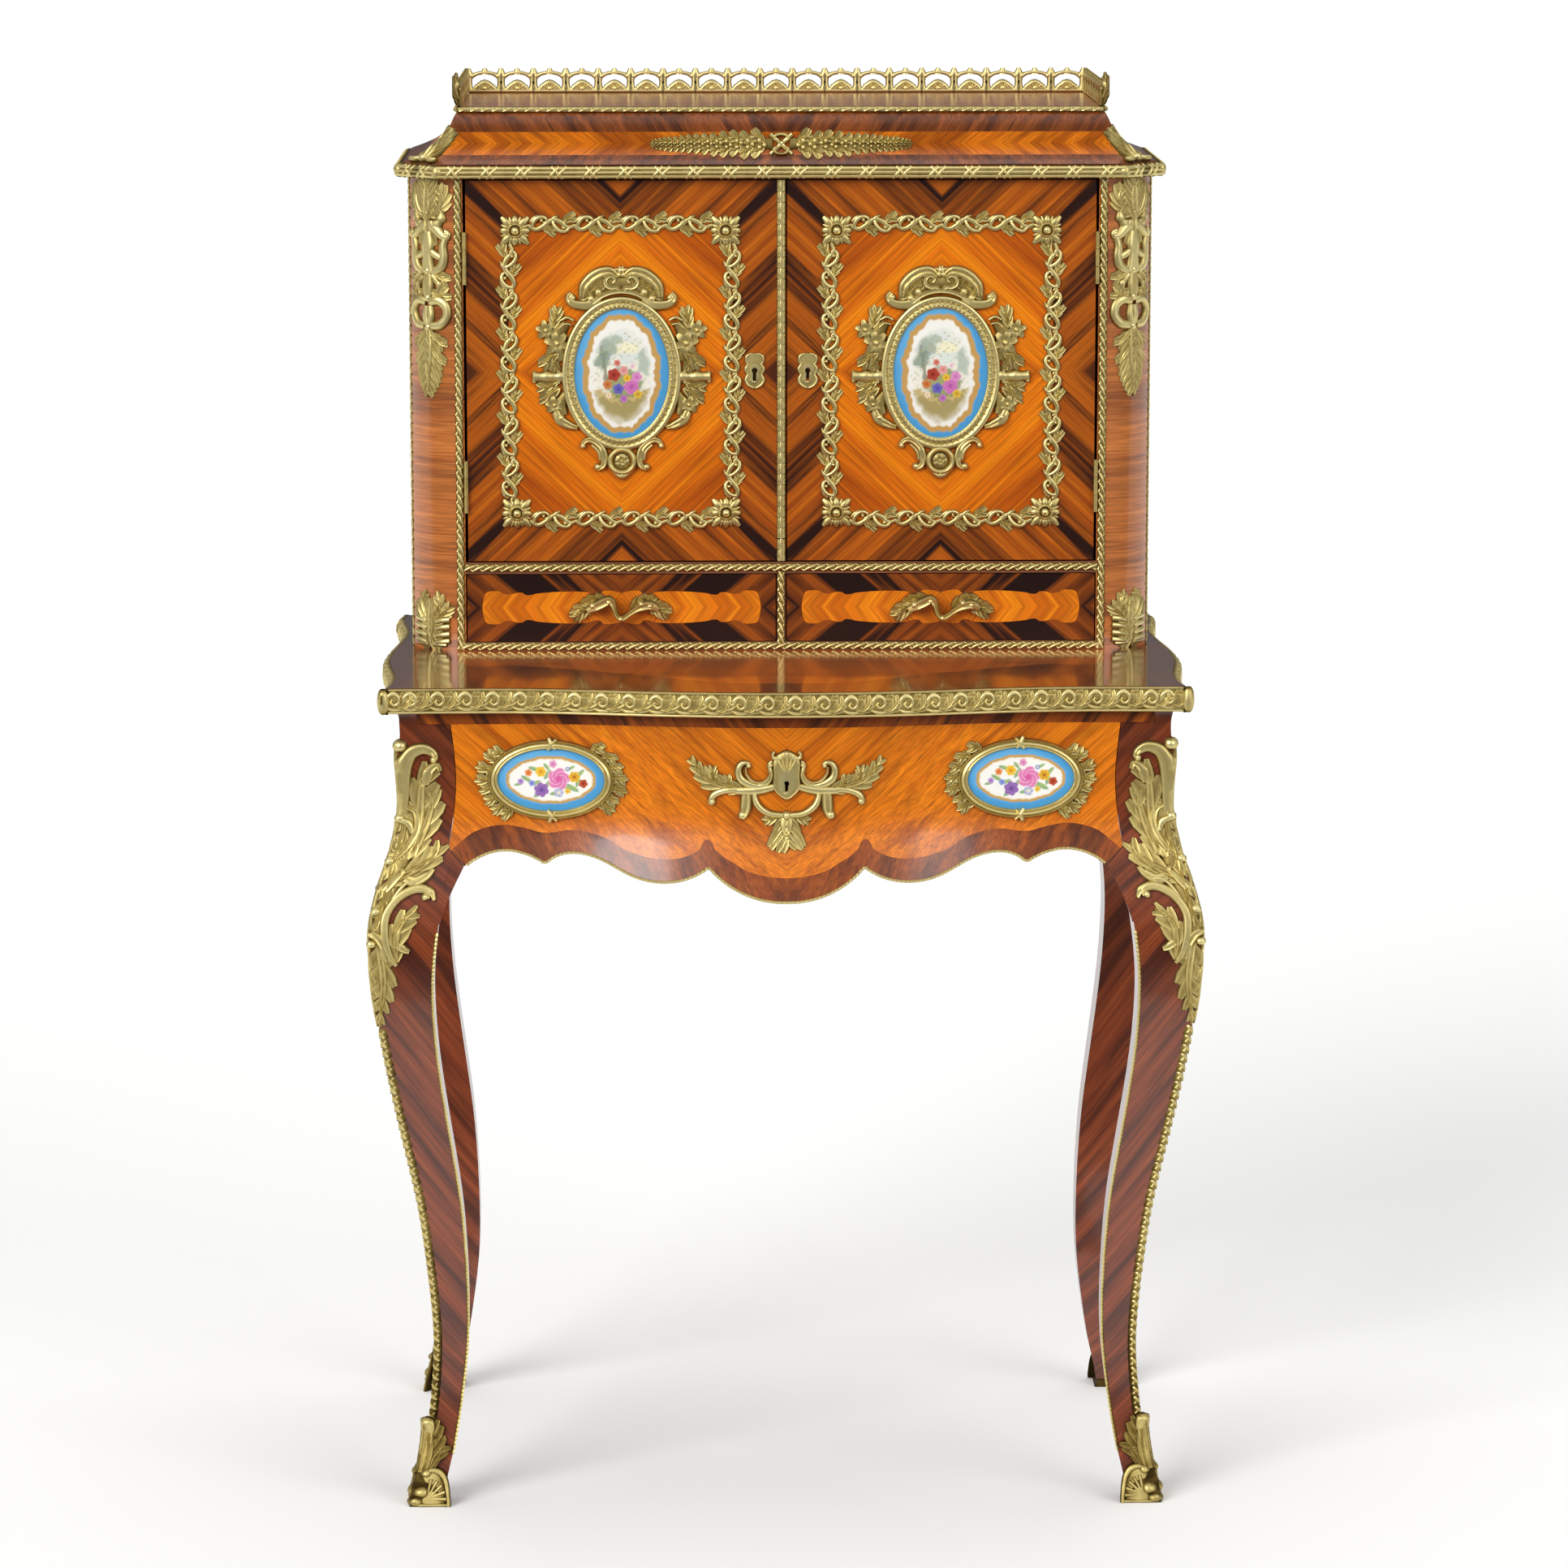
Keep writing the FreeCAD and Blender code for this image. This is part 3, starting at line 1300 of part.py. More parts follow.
cornice_board, cornice_moulding = build_cornice()
save("cornice_board", cornice_board)
save("cornice_moulding", cornice_moulding)
save("hood", build_hood())
hood_board, hood_moulding = build_hood_top()
save("hood_top", hood_board)
save("hood_top_moulding", hood_moulding)
save("gallery", *build_gallery())
save("hood_mounts", *build_hood_mounts((cornice_board, cornice_moulding)))
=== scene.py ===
import math

import bmesh
import bpy
import numpy as np
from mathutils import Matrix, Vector
from mathutils.bvhtree import BVHTree


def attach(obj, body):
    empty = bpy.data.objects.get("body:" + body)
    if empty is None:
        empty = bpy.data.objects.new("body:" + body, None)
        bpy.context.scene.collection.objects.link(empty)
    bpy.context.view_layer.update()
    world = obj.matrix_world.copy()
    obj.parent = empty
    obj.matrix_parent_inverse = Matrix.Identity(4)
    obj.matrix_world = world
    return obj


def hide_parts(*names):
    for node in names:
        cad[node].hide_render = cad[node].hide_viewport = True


# A bonheur du jour in kingwood and tulipwood veneer with gilt brass mounts. Its front
# looks to -Y. Castings are drawn in millimetres, and patterns read Object coordinates,
# which are metres.
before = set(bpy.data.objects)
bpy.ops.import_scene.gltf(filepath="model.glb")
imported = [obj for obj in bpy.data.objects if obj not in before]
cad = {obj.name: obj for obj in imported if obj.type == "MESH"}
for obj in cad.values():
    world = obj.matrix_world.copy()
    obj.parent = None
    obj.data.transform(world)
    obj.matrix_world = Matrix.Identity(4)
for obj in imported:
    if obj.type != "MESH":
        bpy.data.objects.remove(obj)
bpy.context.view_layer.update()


# The four cabriole legs: sawn from solid beech and laid with kingwood veneer whose
# figure climbs outwards on both faces, then French polished. Everything stands on them.
def linear(code):
    """An sRGB hex colour as the linear RGBA a shader works in"""
    parts = [int(code[i:i + 2], 16) / 255 for i in (1, 3, 5)]
    return tuple(p / 12.92 if p <= 0.04045 else ((p + 0.055) / 1.055) ** 2.4 for p in parts) + (1.0,)


def feed(tree, node, feeds):
    """Sets a node's inputs, each to a value or by a link from a node or its socket"""
    for socket, value in feeds.items():
        if isinstance(value, bpy.types.Node):
            value = value.outputs[0]
        if isinstance(value, bpy.types.NodeSocket):
            tree.links.new(value, node.inputs[socket])
        else:
            node.inputs[socket].default_value = value


def add(tree, kind, feeds=None, stops=(), points=(), **settings):
    """Adds a node with its settings, ramp stops or curve points, and feeds its inputs"""
    made = tree.nodes.new(kind)
    for name, value in settings.items():
        setattr(made, name, value)
    for i, (place, colour) in enumerate(stops):
        stop = made.color_ramp.elements[i] if i < 2 else made.color_ramp.elements.new(place)
        stop.position = place
        stop.color = linear(colour)
    for i, spot in enumerate(points):
        if i < 2:
            made.mapping.curves[0].points[i].location = spot
        else:
            made.mapping.curves[0].points.new(*spot)
    feed(tree, made, feeds or {})
    return made


# Sliced veneer: tone changes about 8 mm wide, dark growth streaks about 25 mm wide and
# fibre lines 1.5 mm wide, which is twice their real width so that they show. Each layer
# has its noise cells a metre along and across the fibre, its detail and its twist.
veneer = bpy.data.node_groups.new("sliced_veneer", "ShaderNodeTree")
for name, kind in (("Grain", "Vector"), ("Light", "Color"), ("Deep", "Color"), ("Streak", "Color"),
                   ("Streaks", "Float")):
    veneer.interface.new_socket(name, in_out="INPUT", socket_type="NodeSocket" + kind)
for name, kind in (("Colour", "Color"), ("Fibre", "Float")):
    veneer.interface.new_socket(name, in_out="OUTPUT", socket_type="NodeSocket" + kind)
source = add(veneer, "NodeGroupInput")
layers = []
for stretch, detail, twist in (((3.5, 150, 150), 5, 0.3), ((2.0, 46, 46), 5, 0.7), ((16, 620, 620), 2, 0.0)):
    along = add(veneer, "ShaderNodeVectorMath", {0: source, 1: stretch}, operation="MULTIPLY")
    layers.append(add(veneer, "ShaderNodeTexNoise", {
        "Vector": along, "Scale": 1.0, "Detail": detail, "Roughness": 0.6, "Distortion": twist}))
tone = add(veneer, "ShaderNodeMapRange", {0: layers[0], 1: 0.3, 2: 0.7, 3: 0.0, 4: 1.0})
body = add(veneer, "ShaderNodeMix",
           {0: tone, 6: source.outputs["Light"], 7: source.outputs["Deep"]}, data_type="RGBA")
growth = add(veneer, "ShaderNodeMapRange", {0: layers[1], 1: 0.46, 2: 0.6, 3: 0.0, 4: 1.0})
share = add(veneer, "ShaderNodeMath", {0: growth, 1: source.outputs["Streaks"]}, operation="MULTIPLY")
streaked = add(veneer, "ShaderNodeMix",
               {0: share, 6: body.outputs[2], 7: source.outputs["Streak"]}, data_type="RGBA")
line = add(veneer, "ShaderNodeMapRange", {0: layers[2], 1: 0.3, 2: 0.72, 3: 1.2, 4: 0.58})
lined = add(veneer, "ShaderNodeMix",
            {0: 1.0, 6: streaked.outputs[2], 7: line}, data_type="RGBA", blend_type="MULTIPLY")
add(veneer, "NodeGroupOutput", {0: lined.outputs[2], 1: layers[2]})

# The turns about X and Y, in degrees, that bring a face of the desk level.
FRONT_FACE = (-90, 0)
SIDE_FACE = (-90, -90)
TOP_FACE = (0, 0)


def new_finish(name, settings):
    """A plain material with its shader's settings: the material, its tree and shader"""
    made = bpy.data.materials.new(name)
    made.use_nodes = True
    shader = made.node_tree.nodes["Principled BSDF"]
    feed(made.node_tree, shader, settings)
    return made, made.node_tree, shader


def polished_wood(name, middle, roughness=0.3, coat=0.55, gloss=0.09):
    """A French polished wood, clear and softly shining: its material, its tree, and the
    place on the piece folded about a middle in mm, so that left and right match"""
    made, tree, _ = new_finish(name, {
        "Roughness": roughness, "IOR": 1.5, "Coat Weight": coat, "Coat Roughness": gloss, "Coat IOR": 1.52})
    spot = add(tree, "ShaderNodeTexCoord").outputs["Object"]
    away = add(tree, "ShaderNodeVectorMath", {0: spot, 1: [c / 1000 for c in middle]}, operation="SUBTRACT")
    return made, tree, add(tree, "ShaderNodeVectorMath", {0: away}, operation="ABSOLUTE")


def lay(tree, folded, face, degrees, woods, streaks, shift=0.0):
    """Veneer on a face with its fibre at an angle, in light, deep and streak colours"""
    turned = add(tree, "ShaderNodeMapping", {
        "Vector": folded, "Location": (shift, shift * 3, shift),
        "Rotation": [math.radians(a) for a in (face[0], face[1], -degrees)]})
    light, deep, streak = [linear(colour) for colour in woods]
    return add(tree, "ShaderNodeGroup", {"Grain": turned, "Light": light, "Deep": deep, "Streak": streak,
                                         "Streaks": streaks}, node_tree=veneer)


def veneered(tree, ground, *inlays):
    """Feeds the shader a ground veneer with (mask, veneer) inlays over it, under one polish"""
    colour, fibre = ground.outputs
    for mask, laid in inlays:
        colour = add(tree, "ShaderNodeMix", {0: mask, 6: colour, 7: laid.outputs[0]},
                     data_type="RGBA").outputs[2]
        fibre = add(tree, "ShaderNodeMix", {0: mask, 2: fibre, 3: laid.outputs[1]}).outputs[0]
    relief = add(tree, "ShaderNodeBump", {"Strength": 0.12, "Distance": 0.0003, "Height": fibre})
    feed(tree, tree.nodes["Principled BSDF"], {"Base Color": colour, "Normal": relief})


def dress(material, *names):
    """Gives CAD nodes their finish"""
    for name in names:
        cad[name].data.materials.clear()
        cad[name].data.materials.append(material)


rosy_kingwood = ("#8E4420", "#6A2A10", "#300F06")
finish, tree, folded = polished_wood("kingwood_on_legs", (0, 0, -1000))
place = add(tree, "ShaderNodeSeparateXYZ", {0: folded})
out = add(tree, "ShaderNodeMath", {0: place.outputs[0], 1: place.outputs[1]}, operation="ADD")
climb = add(tree, "ShaderNodeCombineXYZ", {0: out, 1: place.outputs[2], 2: 0.0})
veneered(tree, lay(tree, climb, TOP_FACE, 48, rosy_kingwood, 0.75))
dress(finish, "left_front_leg", "right_front_leg", "left_rear_leg", "right_rear_leg")


# The leg mounts: brass cast in sand in several pieces, chased, gilded and pinned over
# the outer corners of the front legs, symmetrical about the corner: a chute of scrolls
# and acanthus at the knee, a reeded strip down the corner and a sabot round the foot.
def smooth(points, count):
    """Evenly spaced points on a smooth curve through the given ones"""
    known = np.array(points, float)
    known = np.vstack([2 * known[0] - known[1], known, 2 * known[-1] - known[-2]])
    share = np.linspace(0, 1, 8, endpoint=False)[:, None]
    runs = [0.5 * (2 * b + (c - a) * share + (2 * a - 5 * b + 4 * c - d) * share ** 2
                   + (3 * b - a - 3 * c + d) * share ** 3)
            for a, b, c, d in zip(known, known[1:], known[2:], known[3:])]
    fine = np.vstack(runs + [known[-2:-1]])
    run = np.r_[0, np.cumsum(np.linalg.norm(np.diff(fine, axis=0), axis=1))]
    even = np.linspace(0, run[-1], count)
    return np.column_stack([np.interp(even, run, column) for column in fine.T])


def ring_faces(rings, around, open_ends=1):
    """Faces between rings of corners; with no open ends the last ring joins the first"""
    def corner(ring, place):
        return ring % rings * around + place % around

    return [(corner(r, j), corner(r, j + 1), corner(r + 1, j + 1), corner(r + 1, j))
            for r in range(rings - open_ends) for j in range(around)]


def bar(points, widths, heights, groove=0.0, sides=7, floor=-0.5, teeth=0):
    """A cast stem or leaf laid along a line of (u, v): widths and heights in mm at even
    shares of it, a groove sunk down its middle and teeth notched into its edges"""
    length = np.linalg.norm(np.diff(np.array(points, float), axis=0), axis=1).sum()
    count = int(min(60, max(6, teeth * 5 + 1, length / 2.2)))
    spine = smooth(points, count)
    run = np.linspace(0, 1, count)
    wide = np.interp(run, np.linspace(0, 1, len(widths)), widths) / 2
    high = np.interp(run, np.linspace(0, 1, len(heights)), heights)
    tooth = (run * teeth) % 1
    bite = 0.35
    wide = wide * (1 - bite * tooth ** 1.5)
    heading = np.gradient(spine, axis=0)
    heading /= np.linalg.norm(heading, axis=1)[:, None] + 1e-9
    normal = np.column_stack([-heading[:, 1], heading[:, 0]])
    angle = np.linspace(0, np.pi, sides)
    across = -np.cos(angle)
    crown = np.sin(angle) ** 0.75 * (1 - groove * np.exp(-(across / 0.3) ** 2))
    spots = spine[:, None] + normal[:, None] * (across[None, :, None] * wide[:, None, None])
    swept = np.abs(across)[None, :, None] * (tooth * wide * bite)[:, None, None] * 1.2
    spots = spots - heading[:, None] * swept
    lift = floor + (high[:, None] - floor) * crown[None] * (1 - 0.25 * tooth[:, None] * np.abs(across)[None])
    verts = np.concatenate([spots, lift[..., None]], axis=2).reshape(-1, 3)
    # The casting's level of wear and painted light and shade: light on its crown, and dark towards its edges
    # where it meets the ground and in its notched teeth, as painted shade.
    wear_and_shade = np.repeat((crown ** 1.7 * 0.95 + 0.05)[None], count, 0) * (1 - 0.5 * tooth[:, None])
    ends = [tuple(range(sides)), tuple(range((count - 1) * sides, count * sides))]
    return verts, ring_faces(count, sides) + ends, wear_and_shade.ravel()


def acanthus(points, widths, height, lobes, lean=38, sides=(-1, 1), tip=0.6):
    """A cast leaf: a rib with lobes that spread and curl forward from both of its sides"""
    rib = smooth(points, 2 * lobes + 3)
    wide = np.interp(np.linspace(0, 1, len(rib)), np.linspace(0, 1, len(widths)), widths) / 2
    heading = np.gradient(rib, axis=0)
    heading /= np.linalg.norm(heading, axis=1)[:, None]
    leaf = [bar(points, [w * 0.42 for w in widths], [height * 0.7, height, height * 0.95, height * tip], 0.4)]
    spacing = np.linalg.norm(np.diff(rib, axis=0), axis=1).sum() / lobes
    for i in range(1, len(rib) - 1, 2):
        ahead = heading[min(i + 1, len(rib) - 1)]
        for side in sides:
            turn = math.radians(side * lean)
            away = np.array([ahead[0] * math.cos(turn) - ahead[1] * math.sin(turn),
                             ahead[0] * math.sin(turn) + ahead[1] * math.cos(turn)])
            reach = wide[i] / math.sin(math.radians(lean))
            mid = rib[i] + away * reach * 0.6
            end = rib[i] + away * reach + ahead * reach * 0.18
            broad = min(spacing * 1.2, wide[i] * 1.3)
            leaf.append(bar([rib[i] - ahead * spacing * 0.3, mid, end],
                            [broad * 0.6, broad, broad * 1.05, broad * 0.55],
                            [height * 0.9, height * 0.85, height * 0.75, height * tip * 0.8], 0.42, sides=5))
    return leaf


def ball(u, v, radius, height, floor=-0.5, sides=10):
    """A cast boss"""
    tilts = np.radians([0, 35, 65])  # of the rings between its foot and its crown
    turn = np.linspace(0, 2 * np.pi, sides, endpoint=False)
    verts = [(u + radius * math.cos(a) * math.cos(t), v + radius * math.sin(a) * math.cos(t),
              floor + (height - floor) * math.sin(t)) for t in tilts for a in turn] + [(u, v, height)]
    crown = [(2 * sides + j, 2 * sides + (j + 1) % sides, 3 * sides) for j in range(sides)]
    faces = ring_faces(3, sides) + crown + [tuple(range(sides))]
    # Dark at its foot and light on its crown: wear, and painted shade where it meets the ground.
    return np.array(verts), faces, np.repeat([0.1, 0.7, 1.0, 1.0], [sides, sides, sides, 1])


def ground(piece):
    """A casting's plain ground, darkened behind the raised work as painted shade"""
    verts, faces, wear_and_shade = piece
    return verts, faces, wear_and_shade * 0.45


def flipped(pieces):
    """The same castings on the other side of their middle line"""
    return [(verts * (-1, 1, 1), faces, wear_and_shade) for verts, faces, wear_and_shade in pieces]


def joined(pieces):
    """Castings as one list of corners, faces and levels of wear and painted light and shade"""
    verts, faces, wear_and_shade, first = [], [], [], 0
    for corners, sides, bright in pieces:
        verts.append(corners)
        wear_and_shade.append(bright)
        faces += [tuple(first + i for i in face) for face in sides]
        first += len(corners)
    return np.vstack(verts), faces, np.concatenate(wear_and_shade)


def linked(name, data):
    """A new object in the scene for a mesh, a lamp or a camera"""
    made = bpy.data.objects.new(name, data)
    bpy.context.scene.collection.objects.link(made)
    return made


def solid_piece(name, verts, faces, wear_and_shade, material):
    """A piece from corners in mm, its faces turned outwards, with its level of wear and painted light and
    shade for the metal
    """
    mesh = bpy.data.meshes.new(name)
    mesh.from_pydata((np.asarray(verts) / 1000).tolist(), [], faces)
    work = bmesh.new()
    work.from_mesh(mesh)
    bmesh.ops.recalc_face_normals(work, faces=work.faces)
    work.to_mesh(mesh)
    work.free()
    mesh.attributes.new("wear_and_shade", "FLOAT", "POINT").data.foreach_set("value", np.asarray(wear_and_shade, np.float32))
    mesh.shade_smooth()
    mesh.set_sharp_from_angle(angle=math.radians(62))
    mesh.materials.append(material)
    return linked(name, mesh)


def fit(piece, body, slot, *replaced):
    """Fixes a finished piece to its body and hides the CAD nodes that it stands for"""
    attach(piece, body)
    if replaced:
        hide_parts(*replaced)


def cast(name, pieces, surface, body, *replaced):
    """Fixes castings to a body as one piece, laid by a function on what they are pinned to"""
    verts, faces, wear_and_shade = joined(pieces)
    fit(solid_piece(name, surface(verts), faces, wear_and_shade, brass), body, "gilt_brass", *replaced)


# Gilt brass, sand cast and chased: warm and satin on its crowns, lighter there from wear
# and as painted highlight, and brown in the hollows from wax and dirt kept there and as
# painted shade, with the faint grain of the sand. Its colour also darkens towards the
# floor as painted shade. Plain bars and hinges are the same metal, drawn and filed, and
# are evenly worn.
def gilt_brass(name, worn):
    """The metal, lighter on a casting's crowns and darker in its hollows by its wear and painted light and
    shade, or, for plain work, even
    """
    metal, tree, shader = new_finish(name, {"Metallic": 1.0})
    wear_and_shade = add(tree, "ShaderNodeAttribute", attribute_name="wear_and_shade").outputs["Fac"] if worn else 0.55
    spot = add(tree, "ShaderNodeTexCoord").outputs["Object"]
    cloud = add(tree, "ShaderNodeTexNoise", {"Vector": spot, "Scale": 90.0, "Detail": 4.0, "Roughness": 0.6})
    mixed = add(tree, "ShaderNodeMath", {0: cloud, 1: 0.5, 2: wear_and_shade}, operation="MULTIPLY_ADD")
    height = add(tree, "ShaderNodeSeparateXYZ", {0: spot}).outputs[2]
    # Painted shade: the metal darkens towards the floor below a quarter metre, and above that its level is
    # lowered evenly.
    painted_floor_shade = add(tree, "ShaderNodeMapRange", {0: height, 1: 0.02, 2: 0.25, 3: 0.62, 4: 0.25})
    level = add(tree, "ShaderNodeMath", {0: mixed, 1: painted_floor_shade}, operation="SUBTRACT")
    tint = add(tree, "ShaderNodeValToRGB", {0: level}, stops=[
        (0.0, "#382A12"), (1.0, "#E8D898"), (0.3, "#86713A"), (0.6, "#C3B070")])
    rough = add(tree, "ShaderNodeMapRange", {0: level, 3: 0.62, 4: 0.4})
    sand = add(tree, "ShaderNodeTexNoise", {"Vector": spot, "Scale": 900.0, "Detail": 3.0})
    pits = add(tree, "ShaderNodeBump", {"Strength": 0.25, "Distance": 0.0004, "Height": sand})
    feed(tree, shader, {"Base Color": tint, "Roughness": rough, "Normal": pits})
    return metal


brass = gilt_brass("gilt_brass_cast_and_chased", True)
plain_brass = gilt_brass("gilt_brass_drawn_and_filed", False)


def skin_of(name):
    """The faces of a CAD node, to be felt with rays"""
    mesh = cad[name].data
    return BVHTree.FromPolygons([v.co[:] for v in mesh.vertices], [p.vertices[:] for p in mesh.polygons])


# A front leg stands on the diagonal, its outer corner where x and y add up to this. The
# rear legs mirror it in depth.
leg_diagonal, depth_sum = 143.5, 19
leg_skin = skin_of("right_front_leg")
rows, out = [], 0.3475
for z in range(734, 9, -4):
    depth = leg_diagonal / 1000 - out + 0.004
    hit = leg_skin.ray_cast(Vector((0.6, depth, z / 1000)), Vector((-1, 0, 0)))[0]
    back = leg_skin.ray_cast(Vector((0.0, depth, z / 1000)), Vector((1, 0, 0)))[0]
    out = hit.x if hit else out
    rows.append((z, out * 1000, back.x * 1000 if back else out * 1000 - 55))
corner_heights, corner_reach, inner_reach = np.array(rows[::-1]).T
# The leg castings stop short of this, the farthest that the desk reaches to its sides.
desk_half_width = 376.2


def on_leg(side, verts, fore=-1, swell=0.0):
    """Lays flat castings round a leg's outer corner: u inwards over its front or, where it
    is negative, over its side, v the height; fore is 1 for a rear leg and swell is 1 on
    the sabot, which widens towards the floor"""
    u, v, h = np.asarray(verts, float).T
    h = h + np.interp(v, (0, 17, 35, 92), (7.5, 4.1, 3.2, 3.4)) * swell
    reach = np.interp(v, corner_heights, corner_reach)
    turn = np.clip(u / 3.0, -1, 1) * math.pi / 4 + math.pi / 4
    x = np.minimum(reach - np.maximum(u, 0) + h * np.cos(turn), desk_half_width)
    y = leg_diagonal - reach + np.maximum(-u, 0) - h * np.sin(turn)
    if fore > 0:
        y = depth_sum - y
    return np.column_stack([side * x, y, v])


# A run of castings: one casting repeated at an even pitch along every line of a path,
# turned so that it faces away from what it is pinned to.
run_tree = bpy.data.node_groups.new("run_of_castings", "GeometryNodeTree")
for name, kind in (("Path", "Geometry"), ("Casting", "Object"), ("Pitch", "Float"), ("Metal", "Material")):
    run_tree.interface.new_socket(name, in_out="INPUT", socket_type="NodeSocket" + kind)
run_tree.interface.new_socket("Run", in_out="OUTPUT", socket_type="NodeSocketGeometry")
source = add(run_tree, "NodeGroupInput")
line = add(run_tree, "GeometryNodeMeshToCurve", {0: source})
even = add(run_tree, "GeometryNodeResampleCurve", {"Curve": line, "Length": source.outputs["Pitch"]},
           mode="LENGTH")
spots = add(run_tree, "GeometryNodeCurveToPoints", {0: even}, mode="EVALUATED")
facing = add(run_tree, "GeometryNodeInputNamedAttribute", {"Name": "facing"}, data_type="FLOAT_VECTOR")
turned = add(run_tree, "FunctionNodeAxesToRotation", {0: facing, 1: spots.outputs["Tangent"]},
             primary_axis="Z", secondary_axis="X")
casting = add(run_tree, "GeometryNodeObjectInfo", {"Object": source.outputs["Casting"]})
placed = add(run_tree, "GeometryNodeInstanceOnPoints",
             {"Points": spots, "Instance": casting.outputs["Geometry"], "Rotation": turned})
real = add(run_tree, "GeometryNodeRealizeInstances", {0: placed})
metal = add(run_tree, "GeometryNodeSetMaterial", {"Geometry": real, "Material": source.outputs["Metal"]})
add(run_tree, "NodeGroupOutput", {0: metal})


def casting_run(name, lines, unit, pitch):
    """A piece that repeats flat castings along lines of (points, facings) in mm: u runs
    along the line and h away from the ground. Each line is divided evenly by the pitch"""
    verts, edges, facings = [], [], []
    for points, away in lines:
        points = np.asarray(points, float)
        away = np.broadcast_to(np.asarray(away, float), points.shape)
        start = points[0] + (points[1] - points[0]) / np.linalg.norm(points[1] - points[0]) * pitch / 2
        end = points[-1] + (points[-2] - points[-1]) / np.linalg.norm(points[-2] - points[-1]) * pitch / 2
        points = np.vstack([start, points[1:-1], end])
        edges += [(len(verts) + i, len(verts) + i + 1) for i in range(len(points) - 1)]
        verts += points.tolist()
        facings += (away / np.linalg.norm(away, axis=1)[:, None]).tolist()
    path_mesh = bpy.data.meshes.new(name)
    path_mesh.from_pydata((np.array(verts) / 1000).tolist(), edges, [])
    path_mesh.attributes.new("facing", "FLOAT_VECTOR", "POINT").data.foreach_set("vector", np.ravel(facings))
    path = linked(name + "_path", path_mesh)
    sample = solid_piece(name + "_unit", *joined(unit), brass)
    run = path.modifiers.new("run", "NODES")
    run.node_group = run_tree
    given = {"Casting": sample, "Pitch": pitch / 1000, "Metal": brass}
    for socket in run_tree.interface.items_tree:
        if socket.name in given:
            run[socket.identifier] = given[socket.name]
    bpy.context.view_layer.update()
    mesh = bpy.data.meshes.new_from_object(path.evaluated_get(bpy.context.evaluated_depsgraph_get()))
    path.modifiers.remove(run)
    for spent in (path, sample):
        bpy.data.objects.remove(spent)
    mesh.name = name
    return linked(name, mesh)


knee = [
    ball(1.5, 706.5, 6.2, 6.4),
    bar([(3, 642), (3, 662), (4, 684), (10, 699), (20, 704), (28, 702), (33, 697), (31, 692.5)],
        [8, 10, 12, 15, 14.5, 12.5, 9, 5], [3.4, 4.2, 4.8, 5.2, 5.4, 5.4, 5.2, 4.6], 0.3, sides=9),
    ball(31, 694, 3.8, 5.8),
    *acanthus([(13, 604), (17, 628), (18, 652), (20, 673), (29, 687)], [13, 24, 27, 21, 11], 5, 3, 40),
    bar([(22, 672), (27, 684), (34, 689), (36.5, 684)], [9, 12, 9, 6], [4.4, 5.2, 5.2, 4.8], 0.35),
    *acanthus([(20, 606), (22, 622), (25, 638), (28, 654), (28, 664)], [12, 20, 23, 19, 11], 5, 3, 42),
    bar([(6, 651), (14, 646), (17, 632), (12, 616), (5, 606)], [5, 9, 10, 9, 6], [3.8, 5, 5.2, 5, 4], 0.35),
    *acanthus([(5, 584), (16, 591), (28, 598), (37, 606), (42, 617)], [12, 19, 20, 16, 9], 5, 3, 42),
    bar([(4, 578), (10, 588), (15, 595), (11, 597)], [8, 10, 8, 4], [4.4, 5.4, 5.2, 4.6], 0.3),
    bar([(18, 589), (28, 586), (37, 591), (41, 597)], [9, 11, 11, 6], [4.2, 4.8, 4.6, 3.6], 0.35),
    bar([(22, 511), (16, 522), (11, 540), (10, 558), (18, 573), (31, 580), (42, 578), (43, 571.5)],
        [4, 7, 8.5, 9, 9, 10, 9, 6], [2.8, 4.8, 5.6, 5.8, 5.6, 5.6, 5.4, 4.6], 0.22, sides=9),
    ball(41, 573, 4.2, 6),
    bar([(36, 581), (46, 576), (50, 570)], [7, 8, 4], [4.6, 4.8, 4], 0.3),
    bar([(8, 560), (20, 584), (36, 586)], [4, 5, 3], [3.6, 4.4, 3.4]),
    *acanthus([(23, 514), (22, 528), (23, 544), (30, 556), (37, 560)], [8, 17, 20, 14, 7], 4.8, 3, 40),
    bar([(23, 530), (29, 526), (34, 524)], [8, 9, 5], [4, 4.4, 3.4], 0.3),
    *acanthus([(4, 604), (5, 584), (5, 560), (4, 540)], [9, 13, 12, 8], 4.4, 3),
    *acanthus([(4, 646), (5, 632), (5, 616), (3, 600)], [9, 15, 14, 8], 4.4, 2),
    bar([(1, 640), (9, 636), (13, 628)], [6, 8, 5], [5.4, 5, 4.4]),
    ground(bar([(6, 650), (9, 622), (10, 596), (6, 560), (5, 532)], [10, 14, 16, 12, 9],
               [2.4, 2.6, 2.6, 2.6, 2.4])),
    bar([(0.5, 541), (6, 536), (12, 527), (15, 515)], [7, 10, 11, 9], [5.8, 5, 4.8, 4.2], 0.35),
    *acanthus([(6, 530), (9, 512), (9, 494), (6, 478), (3, 464), (1.5, 454)], [14, 21, 20, 15, 9, 5],
              4.6, 4, 40),
]
knee += [ball(0.5, z, 4.4, 5.8) for z in (641, 604, 560, 531)]
cast("left_knee_chute", knee + flipped(knee), lambda verts: on_leg(-1, verts), "desk")
cast("right_knee_chute", knee + flipped(knee), lambda verts: on_leg(1, verts), "desk", "knee_mounts")


# The strip on each front corner is folded over it, so its castings fall away at 45
# degrees on both sides; the one on the inner corner is a fine row of beads.
def over_corner(pieces):
    """Castings bent over a square corner that runs along u"""
    fall = 0.72
    return [(np.column_stack([v[:, 0], v[:, 1] * fall, v[:, 2] + 0.6 - np.abs(v[:, 1]) * fall]), f, s)
            for v, f, s in pieces]


